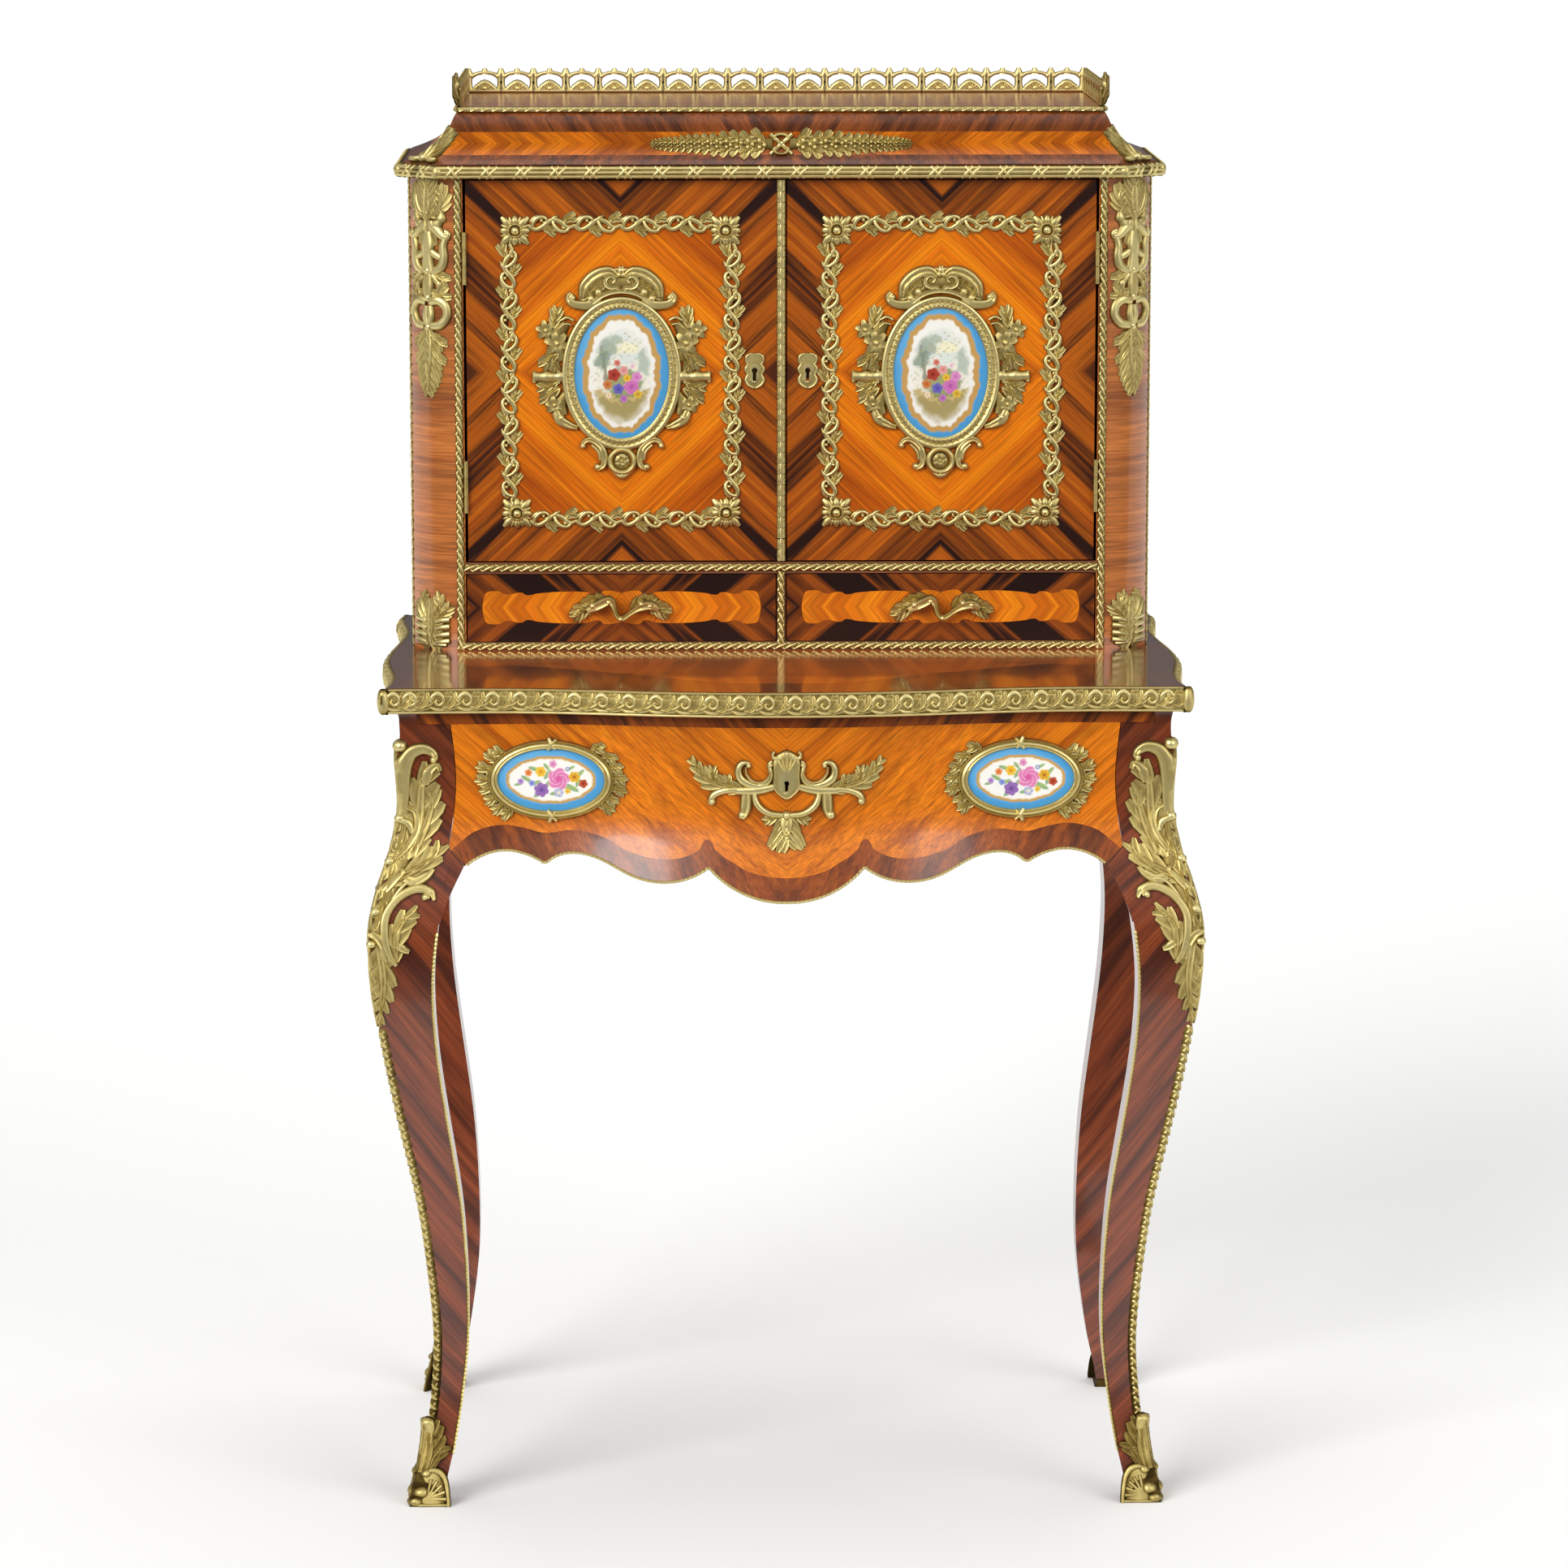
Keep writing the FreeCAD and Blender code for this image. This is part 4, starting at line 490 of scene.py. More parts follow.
strip_unit = over_corner([
    ground(bar([(-4.5, 0), (4.5, 0)], [13, 13], [0.9, 0.9], floor=-1.2, sides=9)),
    bar([(-4.4, -4.6), (0, 0.4), (4.4, 4.6)], [2.6, 4.6, 2.6], [1.2, 2.2, 1.2], floor=0, sides=5),
    bar([(-2.4, 4.4), (0.4, 2.8)], [2.6, 1.2], [1.5, 1.4], floor=0, sides=5),
    bar([(-0.4, -2.8), (2.4, -4.4)], [1.2, 2.6], [1.4, 1.5], floor=0, sides=5)])
lines, inner_lines = [], []
for side in (-1, 1):
    heights = np.linspace(77, 452, 60)
    reach = np.interp(heights, corner_heights, corner_reach)
    lines.append((np.column_stack([side * reach, leg_diagonal - reach, heights]), (side, -1, 0)))
    heights = np.linspace(46, 540, 70)
    reach = np.interp(heights, corner_heights, corner_reach)
    inner = np.interp(heights, corner_heights, inner_reach)
    inner_lines.append((np.column_stack([side * inner, leg_diagonal - reach, heights]), (-side, -1, 0)))
fit(casting_run("leg_corner_strips", lines, strip_unit, 9), "desk", "gilt_brass", "leg_edge_strips")
inner_unit = over_corner([bar([(-2.2, 0), (0, 0), (2.2, 0)], [2.6, 4.4, 2.6],
                              [0.5, 1.0, 0.5], floor=-1.0, sides=7)])
fit(casting_run("leg_inner_strips", inner_lines, inner_unit, 4), "desk", "gilt_brass")

# The sabots: a cast shoe on each foot with scrolls on its upper edge, a shell of rays
# on its toe and a leaf climbing the corner.
foot = [
    bar([(13, 0.5), (13, 14), (9, 31)], [27, 27, 16], [1.6, 1.6, 1.4]),
    bar([(3, 30), (9, 33), (17, 31), (23, 25), (26.5, 16), (28, 6), (28, 0.5)], [5, 6, 6, 5, 5, 4.5, 4.5],
        [4, 3.6, 3, 3, 3, 3, 3]),
    ball(5.5, 30.5, 4.6, 5.4), ball(4.5, 13.5, 5.6, 5.2), ball(0, 4.5, 4.6, 4.4),
    bar([(0, 1.8), (14, 1.8), (28, 1.8)], [3.4, 3.4, 3.4], [2.4, 2.4, 2.4]),
    *acanthus([(4, 30), (6, 40), (10, 49), (17, 55)], [10, 17, 15, 7], 2.6, 2, 40), ball(11, 50, 1.2, 4),
    *acanthus([(3, 31), (4, 45), (3.4, 60), (2, 73)], [14, 22, 18, 9], 3.8, 3, 38, (-1,)),
    bar([(2.5, 31), (2.5, 50), (2, 70)], [7, 8, 6], [2.6, 3.8, 5], 0.3),
    bar([(3, 66), (2, 74), (1, 78)], [7, 7, 6], [3.4, 5.4, 6.4]), ball(0.5, 76.5, 4.2, 6.8),
]
foot += [bar([(9 + 4 * math.cos(a), 7 + 4 * math.sin(a)), (9 + 17 * math.cos(a), 6 + 19 * math.sin(a))],
             [2.5, 4.6], [1.5, 3.2]) for a in np.radians([4, 24, 44, 64, 84])]
for side, fore, name in (
        (-1, -1, "left_front"), (1, -1, "right_front"), (-1, 1, "left_rear"), (1, 1, "right_rear")):
    cast(name + "_sabot_relief", foot + flipped(foot), lambda verts: on_leg(side, verts, fore, 1.0), "desk")
shells = cad["sabots"].data
cup_height, cup_shine = 0.0765, 0.4
cups = solid_piece("sabot_cups", np.array([v.co for v in shells.vertices]) * 1000,
                   [p.vertices[:] for p in shells.polygons], [cup_shine] * len(shells.vertices), brass)
work = bmesh.new()
work.from_mesh(cups.data)
cut = bmesh.ops.bisect_plane(work, geom=work.verts[:] + work.edges[:] + work.faces[:],
                             plane_co=(0, 0, cup_height), plane_no=(0, 0, 1), clear_outer=True)
bmesh.ops.edgenet_fill(work, edges=[e for e in cut["geom_cut"] if isinstance(e, bmesh.types.BMEdge)])
bmesh.ops.recalc_face_normals(work, faces=work.faces)
work.to_mesh(cups.data)
work.free()
fit(cups, "desk", "gilt_brass", "sabots")


# The frieze: shaped oak boards bowed by steam and veneered, bridle jointed between the
# legs. The front one is the drawer front, tulipwood meeting in a V at the middle with a
# band of kingwood along its scalloped edge; the sides and the rail are plain kingwood.
def under_line(tree, along, length, up, scale, points):
    """1 where a place lies under a line drawn over a piece, along it in shares of its
    length and up in metres times a scale; the line's two ends are its first points"""
    share = add(tree, "ShaderNodeMath", {0: along, 1: 1 / length}, operation="MULTIPLY")
    line = add(tree, "ShaderNodeFloatCurve", {0: 1.0, 1: share}, points=points)
    height = add(tree, "ShaderNodeMath", {0: up, 1: scale}, operation="MULTIPLY")
    return add(tree, "ShaderNodeMath", {0: height, 1: line}, operation="LESS_THAN")


tulipwood = ("#EA8410", "#CC6606", "#8A3A02")
kingwood = ("#A85410", "#763006", "#280E04")
finish, tree, folded = polished_wood("tulipwood_frieze", (0, 0, 560))
place = add(tree, "ShaderNodeSeparateXYZ", {0: folded})
frieze_half_width = 0.289
band = under_line(tree, place.outputs[0], frieze_half_width, place.outputs[2], 10.0, [
    (0.0, 0.318), (1.0, 0.618), (0.086, 0.348), (0.176, 0.47), (0.22, 0.56), (0.245, 0.648), (0.27, 0.56),
    (0.32, 0.49), (0.381, 0.468), (0.479, 0.518), (0.569, 0.648), (0.66, 0.70), (0.749, 0.675),
    (0.811, 0.715), (0.871, 0.742), (0.932, 0.72)])
veneered(tree, lay(tree, folded, FRONT_FACE, 42, tulipwood, 0.55),
         (band, lay(tree, folded, FRONT_FACE, 62, kingwood, 0.6, 3.1)))
dress(finish, "frieze_drawer_front")

finish, tree, folded = polished_wood("kingwood_side_frieze", (0, 10, 560))
place = add(tree, "ShaderNodeSeparateXYZ", {0: folded})
pale_kingwood = ("#A85A1C", "#8A4412", "#4A200C")
side_band = 0.066
edge = add(tree, "ShaderNodeMath", {0: place.outputs[2], 1: side_band}, operation="LESS_THAN")
veneered(tree, lay(tree, folded, SIDE_FACE, 42, pale_kingwood, 0.6, 1.3),
         (edge, lay(tree, folded, SIDE_FACE, 62, kingwood, 0.6, 3.1)))
dress(finish, "left_side_apron", "right_side_apron")

finish, tree, folded = polished_wood("kingwood_rails", (0, 0, 500))
veneered(tree, lay(tree, folded, FRONT_FACE, 55, kingwood, 0.8, 0.7))
dress(finish, "rear_apron", "front_top_rail")


# The writing board: a pine and oak board veneered in tulipwood, the two sheets meeting
# on the middle line, inside a wide waved band of kingwood laid across the edges.
finish, tree, folded = polished_wood("tulipwood_table_top", (0, 250, 0), 0.22, 0.8)
place = add(tree, "ShaderNodeSeparateXYZ", {0: folded})
board_half_width, field_half_width, wave_depth = 0.3655, 0.308, 0.006
before = under_line(tree, place.outputs[0], board_half_width, place.outputs[1], 2.0, [
    (0.0, 0.88), (1.0, 0.79), (0.17, 0.865), (0.334, 0.79), (0.45, 0.74), (0.55, 0.70), (0.67, 0.66),
    (0.78, 0.665), (0.83, 0.60), (0.87, 0.66)])
waved = add(tree, "ShaderNodeMath", {0: place.outputs[1], 1: 14.0}, operation="MULTIPLY")
wave = add(tree, "ShaderNodeMath", {0: waved}, operation="SINE")
side_edge = add(tree, "ShaderNodeMath", {0: wave, 1: wave_depth, 2: field_half_width},
                operation="MULTIPLY_ADD")
beside = add(tree, "ShaderNodeMath", {0: place.outputs[0], 1: side_edge}, operation="LESS_THAN")
inner = add(tree, "ShaderNodeMath", {0: before, 1: beside}, operation="MULTIPLY")
veneered(tree, lay(tree, folded, TOP_FACE, 80, ("#7A3C16", "#552810", "#28100A"), 0.6, 2.2),
         (inner, lay(tree, folded, TOP_FACE, 3, ("#C4651A", "#A24A10", "#6A2E0C"), 0.5, 1.1)))
dress(finish, "table_top")


# The frieze mounts: a keyhole mount of scrolls and a hanging palmette over the lock, and
# two oval frames of bound reeds with leaves at their ends, cast and pinned to the bow.
def pressed_on(skin, verts):
    """Lays flat castings on a surface seen from the front: u and v are the place in the
    front view and h the height over the surface, or over its edge where they overhang"""
    verts = np.array(verts, float)
    for i, (u, v, h) in enumerate(verts):
        hit = skin.ray_cast(Vector((u / 1000, -0.45, v / 1000)), Vector((0, 1, 0)))[0]
        if hit is None:
            hit = skin.find_nearest(Vector((u / 1000, -0.23, v / 1000)))[0]
        verts[i] = (u, hit.y * 1000 - h, v)
    return verts


def moved(pieces, u, v):
    """Castings moved in their plane"""
    return [(verts + (u, v, 0), faces, wear_and_shade) for verts, faces, wear_and_shade in pieces]


def pierced(outer, inner, profile, count=48):
    """A plate with a hole: loops of (u, v) round one centre, and a profile of (share from
    the outer loop to the inner one, height) between them"""
    loops = []
    for loop in (outer, inner):
        closed = smooth(list(loop) + [loop[0]], count + 1)[:-1]
        if np.sum(closed[:, 0] * np.roll(closed[:, 1], -1) - closed[:, 1] * np.roll(closed[:, 0], -1)) < 0:
            closed = closed[::-1]
        middle = np.mean(inner, axis=0)
        turn = np.argmin(np.abs(np.arctan2(*(closed - middle).T[::-1]) - 0.01))
        loops.append(np.roll(closed, -turn, axis=0))
    rings = [(0.0, -0.5)] + list(profile) + [(1.0, -0.5)]
    verts = [np.column_stack([loops[0] + (loops[1] - loops[0]) * share, np.full(count, height)])
             for share, height in rings]
    top = max(height for share, height in profile)
    # Darker on its low rings and lighter on its high ones: wear, and painted shade in the hollows.
    wear_and_shade = [np.full(count, max(0.05, height / top) ** 1.5) for share, height in rings]
    return np.vstack(verts), ring_faces(len(rings), count, 0), np.concatenate(wear_and_shade)


def oval_loop(half_width, half_height, count=48, start=0.0):
    """Points round an oval"""
    turn = np.linspace(0, 2 * np.pi, count, endpoint=False) + start
    return np.column_stack([half_width * np.cos(turn), half_height * np.sin(turn)])


def keyhole_loop(radius=2.2, slot=1.25, drop=7.0):
    """The outline of a keyhole: a round eye over a slot"""
    arc = [(radius * math.cos(a), radius * math.sin(a)) for a in np.radians(np.linspace(-50, 230, 13))]
    return arc + [(-slot, -3), (-slot, -drop), (0, -drop), (slot, -drop), (slot, -3)]


frieze = skin_of("frieze_drawer_front")
shield = [(0, 31), (8, 27), (12.5, 20), (12, 8), (12.5, -4), (7, -11), (0, -15),
          (-7, -11), (-12.5, -4), (-12, 8), (-12.5, 20), (-8, 27)]
arm = [
    bar([(23, -3), (33, -1), (41, 4), (43, 12), (40, 18), (34, 18.5), (33, 15)], [6, 8, 9, 8, 7, 5, 3],
        [4, 5, 5, 5, 5, 4.6, 4]),
    ball(34, 16, 3, 5.4), ball(14.5, 16.5, 3, 5.2),
    bar([(28, -3), (20, -1), (14.5, 5), (14.5, 12), (16, 17), (13, 20)], [7, 7, 6, 5, 4.5, 3],
        [4, 4.6, 4.6, 4.4, 4, 3.6]),
    bar([(14, 11), (17, 4), (23, 0.8), (31, 2.6), (36, 9), (36.5, 15)], [2.4, 3, 3.4, 3.4, 3, 2.4],
        [5.4, 6, 6, 6, 6, 5.6]),
    bar([(10, -3), (26, -6.5), (46, -7)], [7, 10, 8], [4, 4.6, 4.2]),
    *acanthus([(38, -6), (54, -3), (67, 1), (76, 8), (82, 17), (86, 22)], [9, 15, 16, 13, 9, 5], 4.8, 5),
    *acanthus([(60, -1), (66, 6), (66, 14)], [7, 8, 5], 4.4, 2),
    *acanthus([(48, -4), (52, 1), (53, 6)], [6, 7, 4], 4.2, 2),
    bar([(44, -6), (56, -7), (65, -11), (68, -17), (66, -19)], [7, 7, 7, 7, 5], [4, 4.8, 4.6, 4.4, 4]),
    ball(66.5, -17, 3.6, 5),
    bar([(36, -5), (36, -17), (37.5, -27), (40, -31)], [9, 11, 11, 7], [4.2, 5, 5, 4.4], 0.35),
    ball(39.5, -29, 4.6, 5),
    bar([(29, -7), (28, -15), (24, -22), (15, -27.5), (3, -29)], [5, 7, 7, 6.6, 6], [4.4, 5.6, 5.6, 5.4, 5]),
    *acanthus([(3, -30), (12, -31), (19, -34)], [7, 9, 5], 4.6, 2),
    bar([(4, 24), (9, 22), (13, 25), (11, 29)], [5, 5, 4, 3], [5, 5.4, 5, 4.4]),
]
keyhole_mount = [pierced(shield, keyhole_loop(),
                         [(0.02, 2.8), (0.1, 4.4), (0.28, 3.8), (0.75, 5.4), (0.98, 5.2)])]
keyhole_mount += arm + flipped(arm) + [ball(0, -29, 4.6, 6), ball(0, 27, 3.4, 6), ball(0, -46, 2.2, 5.6)]
keyhole_mount += acanthus([(0, -27), (0, -37), (0, -48), (1.5, -55)], [18, 34, 22, 9], 5, 4, 44)
keyhole_mount += [bar([(0, 8), (x, 18), (x * 1.5, 25)], [2, 3.6, 3], [5, 5.4, 5]) for x in (-6, -3, 0, 3, 6)]
cast("frieze_keyhole_mount", moved(keyhole_mount, 0, 676), lambda verts: pressed_on(frieze, verts),
     "frieze_drawer", "frieze_mount")

oval_x, oval_z, oval_half_width, oval_half_height = 210.5, 675.6, 47.8, 28.3
reeds = pierced(oval_loop(57.2, 36.4), oval_loop(oval_half_width, oval_half_height),
                [(0.03, 3.2), (0.16, 4.8), (0.3, 3.4), (0.44, 5.2), (0.6, 5.8), (0.74, 4.2), (0.88, 5.0),
                 (0.99, 4.4)], 96)
ties = [bar([(-3, 27.5), (0, 33), (-2, 38)], [4.5, 6, 4.5], [6, 6.8, 5]),
        bar([(4, 28), (1, 33), (5, 37)], [3.5, 4, 3.5], [6, 6.6, 5])]
sprays = [
    ((-40, 24), (-50, 26.5)), ((-46, 18), (-56, 24)), ((-50, 10), (-64, 13)), ((-52, 2), (-65, 1)),
    ((-51, -6), (-61, -8)), ((-48, -13), (-57, -19)), ((-42, -20), (-51, -28)), ((-36, -25), (-43, -32)),
    ((36, 26), (46, 29)), ((45, 20), (57, 19)), ((50, 9), (62, 11)), ((52, 1), (66, 0)),
    ((51, -6), (65, -11)), ((47, -15), (57, -20)), ((41, -21), (54, -28))]
frames = []
for centre in (-oval_x, oval_x):
    oval = [reeds] + ties + [(v * (1, -1, 1), f, s) for v, f, s in ties]
    for (u0, v0), (u1, v1) in sprays:
        bend = ((u0 + u1) / 2 - (v1 - v0) * 0.15, (v0 + v1) / 2 + (u1 - u0) * 0.15)
        oval += acanthus([(u0, v0), bend, (u1, v1)], [7, 9, 5], 5.4, 2)
    frames += moved(oval if centre < 0 else flipped(oval), centre, oval_z)
cast("frieze_oval_frames", frames, lambda verts: pressed_on(frieze, verts), "frieze_drawer",
     "frieze_plaque_frames")


# The plaques: soft paste porcelain, glazed, with a turquoise blue ground on the rim, a
# scalloped line of gilding and a painted reserve. The paint is drawn here as flowers
# and leaves on a fine mesh, each with its own colours.
def paint_over(paint, where, colour, strength=1.0):
    """Lays a colour where a share between 0 and 1 says"""
    share = np.clip(where, 0, 1)[:, None] * strength
    paint[:, :3] = paint[:, :3] * (1 - share) + np.array(linear(colour)[:3]) * share


def flower(paint, u, v, at, size, petals, colour, heart, turn=0.0, folds=0.0):
    """Paints a flower: petals round a heart, or with folds a rose"""
    x, y = u - at[0], v - at[1]
    away, angle = np.hypot(x, y) / size, np.arctan2(y, x) + turn
    edge = 0.8 + 0.2 * np.abs(np.cos(angle * petals / 2))
    paint_over(paint, (edge - away) * size * 1.6 + 0.5, colour)
    shade = 0.5 + 0.5 * np.sin(angle * petals + away * (9 + folds * 8))
    paint_over(paint, (edge - away) * size * 1.6 * shade * (0.4 + folds * 0.4), heart, 0.75)
    paint_over(paint, (0.28 - away) * size * 2 + 0.3, heart)


def leaf_stroke(paint, u, v, at, length, turn, colour):
    """Paints a leaf"""
    x, y = u - at[0], v - at[1]
    along = x * math.cos(turn) + y * math.sin(turn)
    aside = -x * math.sin(turn) + y * math.cos(turn)
    paint_over(paint, (1 - (along / length) ** 2 - (aside / length * 3) ** 2) * 2, colour, 0.85)


def plaque(name, centre, half_width, half_height, grid, surface, painter, border):
    """A domed oval of painted porcelain; surface places (u, v, height), and border is the
    reach of the blue ground, of the gilding and of its scallops"""
    blue, gilding, wave = border
    lines = np.linspace(-1, 1, grid)
    x, y = [a.ravel() for a in np.meshgrid(lines, lines)]
    u, v = x * np.sqrt(1 - y ** 2 / 2), y * np.sqrt(1 - x ** 2 / 2)
    away = np.hypot(u, v)
    verts = np.column_stack([u * (half_width + 1), v * (half_height + 1), 2.4 + 1.6 * (1 - away ** 2)])
    faces = [(r * grid + c, r * grid + c + 1, (r + 1) * grid + c + 1, (r + 1) * grid + c)
             for r in range(grid - 1) for c in range(grid - 1)]
    rim = list(range(grid)) + [r * grid + grid - 1 for r in range(1, grid)]
    rim += [(grid - 1) * grid + c for c in range(grid - 2, -1, -1)]
    rim += [r * grid for r in range(grid - 2, 0, -1)]
    first = len(verts)
    under = verts[rim].copy()
    under[:, 2] = 0.6
    verts = np.vstack([verts, under])
    faces += [(rim[i], rim[(i + 1) % len(rim)], first + (i + 1) % len(rim), first + i)
              for i in range(len(rim))]
    faces.append(tuple(range(first, first + len(rim))))
    u, v = verts[:, 0], verts[:, 1]
    span = np.hypot(u / half_width, v / half_height) + 1e-6
    inward = (1 - span) * span / np.hypot(u / half_width ** 2, v / half_height ** 2)
    paint = np.ones((len(verts), 4))
    paint[:, :3] = linear("#F4F2EA")[:3]
    painter(paint, u, v)
    angle = np.arctan2(v / half_height, u / half_width)
    ripple = 0.25 * np.sin(angle * 29 + 2 * np.sin(angle * 5))
    scallop = wave * (np.abs(np.cos(angle * 6)) + ripple - 1.3 * np.sin(angle) ** 2)
    paint_over(paint, gilding + 1.0 + scallop - inward, "#E8C98A", 0.35)
    paint_over(paint, gilding + scallop - inward, "#C2913A", 0.9)
    paint_over(paint, blue + scallop * 0.8 - inward, "#67AEDD")
    # Painted light and shade on the blue: a deeper blue round the outer part of the ring, giving way to the
    # paler blue on the upper left, the side that faces the light.
    paint_over(paint, (blue + scallop * 0.8 - inward) * (0.3 - 0.25 * np.sin(angle - 0.7)), "#3E93CC", 0.7)
    piece = solid_piece(name, surface(verts + (*centre, 0)), faces, np.ones(len(verts)), porcelain)
    coat = piece.data.attributes.new("paint", "FLOAT_COLOR", "POINT")
    coat.data.foreach_set("color", paint.astype(np.float32).ravel())
    return piece


# The glaze is clear and wet looking, over paint that is a little softer, and wavers as
# it pooled in the kiln.
porcelain, tree, shader = new_finish("glazed_soft_paste_porcelain", {
    "Roughness": 0.32, "IOR": 1.5, "Coat Weight": 0.9, "Coat Roughness": 0.05})
spot = add(tree, "ShaderNodeTexCoord").outputs["Object"]
waver = add(tree, "ShaderNodeTexNoise", {"Vector": spot, "Scale": 160.0, "Detail": 1.0})
glaze = add(tree, "ShaderNodeBump", {"Strength": 0.08, "Distance": 0.0004, "Height": waver})
enamel = add(tree, "ShaderNodeAttribute", attribute_name="paint").outputs["Color"]
feed(tree, shader, {"Base Color": enamel, "Normal": glaze})


def posy(paint, u, v):
    """A loose bunch of garden flowers laid along the oval"""
    for at, length, turn in (
            ((-14, -3), 4, 0.4), ((19, -7), 5, -0.5), ((-3, 5), 4, 1.0), ((12, 2), 4, -1.2),
            ((-22, 1), 4, 2.6), ((4, -12), 4, 0.2), ((26, 6), 4, 0.8), ((-10, -12), 5, 0.6),
            ((-29, -4), 3, 0.2), ((18, 11), 3, 0.5), ((-3, -4), 4, 0.9), ((14, -7), 4, -0.8),
            ((-15, 10), 4, -0.3), ((24, -1), 4, 1.4), ((-4, 12), 3, -0.9)):
        leaf_stroke(paint, u, v, at, length * 1.5, turn, "#6C9A58")
        leaf_stroke(paint, u, v, (at[0] + 1, at[1] + 0.5), length * 0.9, turn, "#A8C070")
    for at, size, petals, colour, heart, folds in (
            ((7, 1), 9, 5, "#F0B8D4", "#D860A0", 1), ((-9, 7.5), 4.4, 6, "#F6D04A", "#D89018", 0),
            ((21, 3), 4.6, 6, "#F2C63C", "#B86A1C", 0), ((29, -3), 3.6, 5, "#D4603C", "#8E2A1C", 1),
            ((-20, 6.5), 3.0, 5, "#EE9A5A", "#C65A20", 0), ((-8.5, -9), 6, 6, "#B486C4", "#6E4A96", 1),
            ((7, -11.5), 3.8, 5, "#9AA0DA", "#F0E8C0", 0), ((2, 14.5), 3.2, 5, "#EEB4D0", "#CC6CA4", 1),
            ((-27, -1.5), 2.6, 5, "#C49CD4", "#7A54A0", 0), ((-17, -3), 2.6, 5, "#9CA8E0", "#5A64B0", 0),
            ((15, 10), 2.0, 5, "#8890C8", "#F0E8C0", 0), ((15, -10), 2.4, 5, "#F2D254", "#D08A1C", 0)):
        flower(paint, u, v, at, size * 1.15, petals, colour, heart, at[0] * 0.7, folds)


for centre, name in ((-oval_x, "left_frieze_plaque"), (oval_x, "right_frieze_plaque")):
    piece = plaque(name, (centre, oval_z), oval_half_width, oval_half_height, 150,
                   lambda verts: pressed_on(frieze, verts), posy, (7.4, 10.0, 0.8))
    fit(piece, "frieze_drawer", "porcelain", *(["frieze_plaques"] if centre > 0 else []))


# The strip on the drawer front's scalloped edge: stamped brass gadroons, pinned along
# the curve, which is felt for by halving the height between the open air and the wood.
edge = []
for x in np.linspace(-0.2862, 0.2862, 270):
    low, high = 0.53, 0.7
    for _ in range(11):
        height = (low + high) / 2
        hit = frieze.ray_cast(Vector((x, -0.4, height)), Vector((0, 1, 0)))[0]
        low, high = (low, height) if hit else (height, high)
    wood = frieze.ray_cast(Vector((x, -0.4, high + 0.001)), Vector((0, 1, 0)))[0]
    edge.append((x * 1000, wood.y * 1000, high * 1000 - 0.6))
gadroon = [bar([(-2.2, 0), (2.2, 0)], [3.2, 3.2], [1.2, 1.2], floor=-2, sides=5),
           bar([(-1.6, -1), (1, 0.9)], [1.6, 2], [1.7, 1.7], floor=-1, sides=5)]
fit(casting_run("apron_edge_gadroons", [(edge, (0, -1, 0))], gadroon, 4), "frieze_drawer", "gilt_brass",
    "apron_edge_strip")


# The moulding round the writing board: a round brass band cast in lengths with running
# waves, each a curled shell with a leaf thrown off it, over a plain fillet.
def roundness(share):
    """The rise of a moulding's round face, flatter than a circle, over its half height"""
    return (1 - np.clip(share, -0.98, 0.98) ** 2) ** 0.375


def on_round(pieces, half, depth):
    """Castings raised on the round face of a moulding that runs along u"""
    return [(np.column_stack([v[:, :2], v[:, 2] + depth * roundness(v[:, 1] / half)]), f, s)
            for v, f, s in pieces]


wave = [
    bar([(-11, -1), (-10, 4.4), (-5.4, 7.6), (-0.4, 5.4), (0.4, 0), (-3.4, -3), (-6.8, -0.6), (-5, 2.6)],
        [3, 4.4, 5, 4.6, 4, 3.6, 3, 2.6], [1.2, 2.4, 2.8, 2.7, 2.5, 2.3, 2.2, 2.1], floor=-1.6, sides=7),
    bar([(-7.4, 4.6), (-3.4, 0.4)], [2, 2.2], [2.5, 2.6], floor=-1.6, sides=5),
    bar([(-9, 1.4), (-6, -2.4)], [2, 2.2], [2.4, 2.5], floor=-1.6, sides=5),
    *acanthus([(-1, -4), (5, -5), (10, -1), (13, 5)], [6, 10, 10, 5], 3.0, 3, 40, tip=0.7),
    *acanthus([(1, 5), (5, 7), (9, 6)], [4, 5, 3], 2.4, 2, 40, tip=0.7),
    bar([(-12, -4.6), (-6, -7), (2, -7)], [3, 4.4, 3], [1.4, 2.2, 1.4], floor=-1.6, sides=5)]
wave = on_round(wave, 11.5, 4.2)
wave.append(ground(bar([(-12.8, 0), (12.8, 0)], [22.6, 22.6], [5.0, 5.0], floor=-1, sides=13)))
wave.append(bar([(-12.8, -9.7), (12.8, -9.7)], [3.4, 3.4], [4.4, 4.4], floor=-1, sides=6))
wave.append(bar([(-12.8, 10), (12.8, 10)], [2.6, 2.6], [3.6, 3.6], floor=-1, sides=6))


def rounded_corners(name, places, height, half, depth, reach):
    """Plugs with a moulding's round face, turned like beads, for its corners (x, y)"""
    levels = np.linspace(-1, 1, 13)
    around = np.linspace(0, 2 * np.pi, 24, endpoint=False)
    ends = [tuple(range(24)), tuple(range(12 * 24, 13 * 24))]
    plugs = []
    for x, y in places:
        verts, wear_and_shade = [], []
        for level in levels:
            radius = reach + depth * roundness(level)
            verts += [(x + radius * math.sin(a), y - radius * math.cos(a), height + level * half)
                      for a in around]
            # Lighter on the round face's crown and darker at its top and bottom: wear, and painted shade.
            wear_and_shade += [0.7 * (1 - level ** 2) ** 0.5 + 0.1] * 24
        plugs.append((np.array(verts), ring_faces(13, 24) + ends, np.array(wear_and_shade)))
    return solid_piece(name, *joined(plugs), brass)


def flush(piece):
    """Files a piece's ends level with the back of the desk"""
    for corner in piece.data.vertices:
        corner.co.y = min(corner.co.y, 0.2498)
    return piece


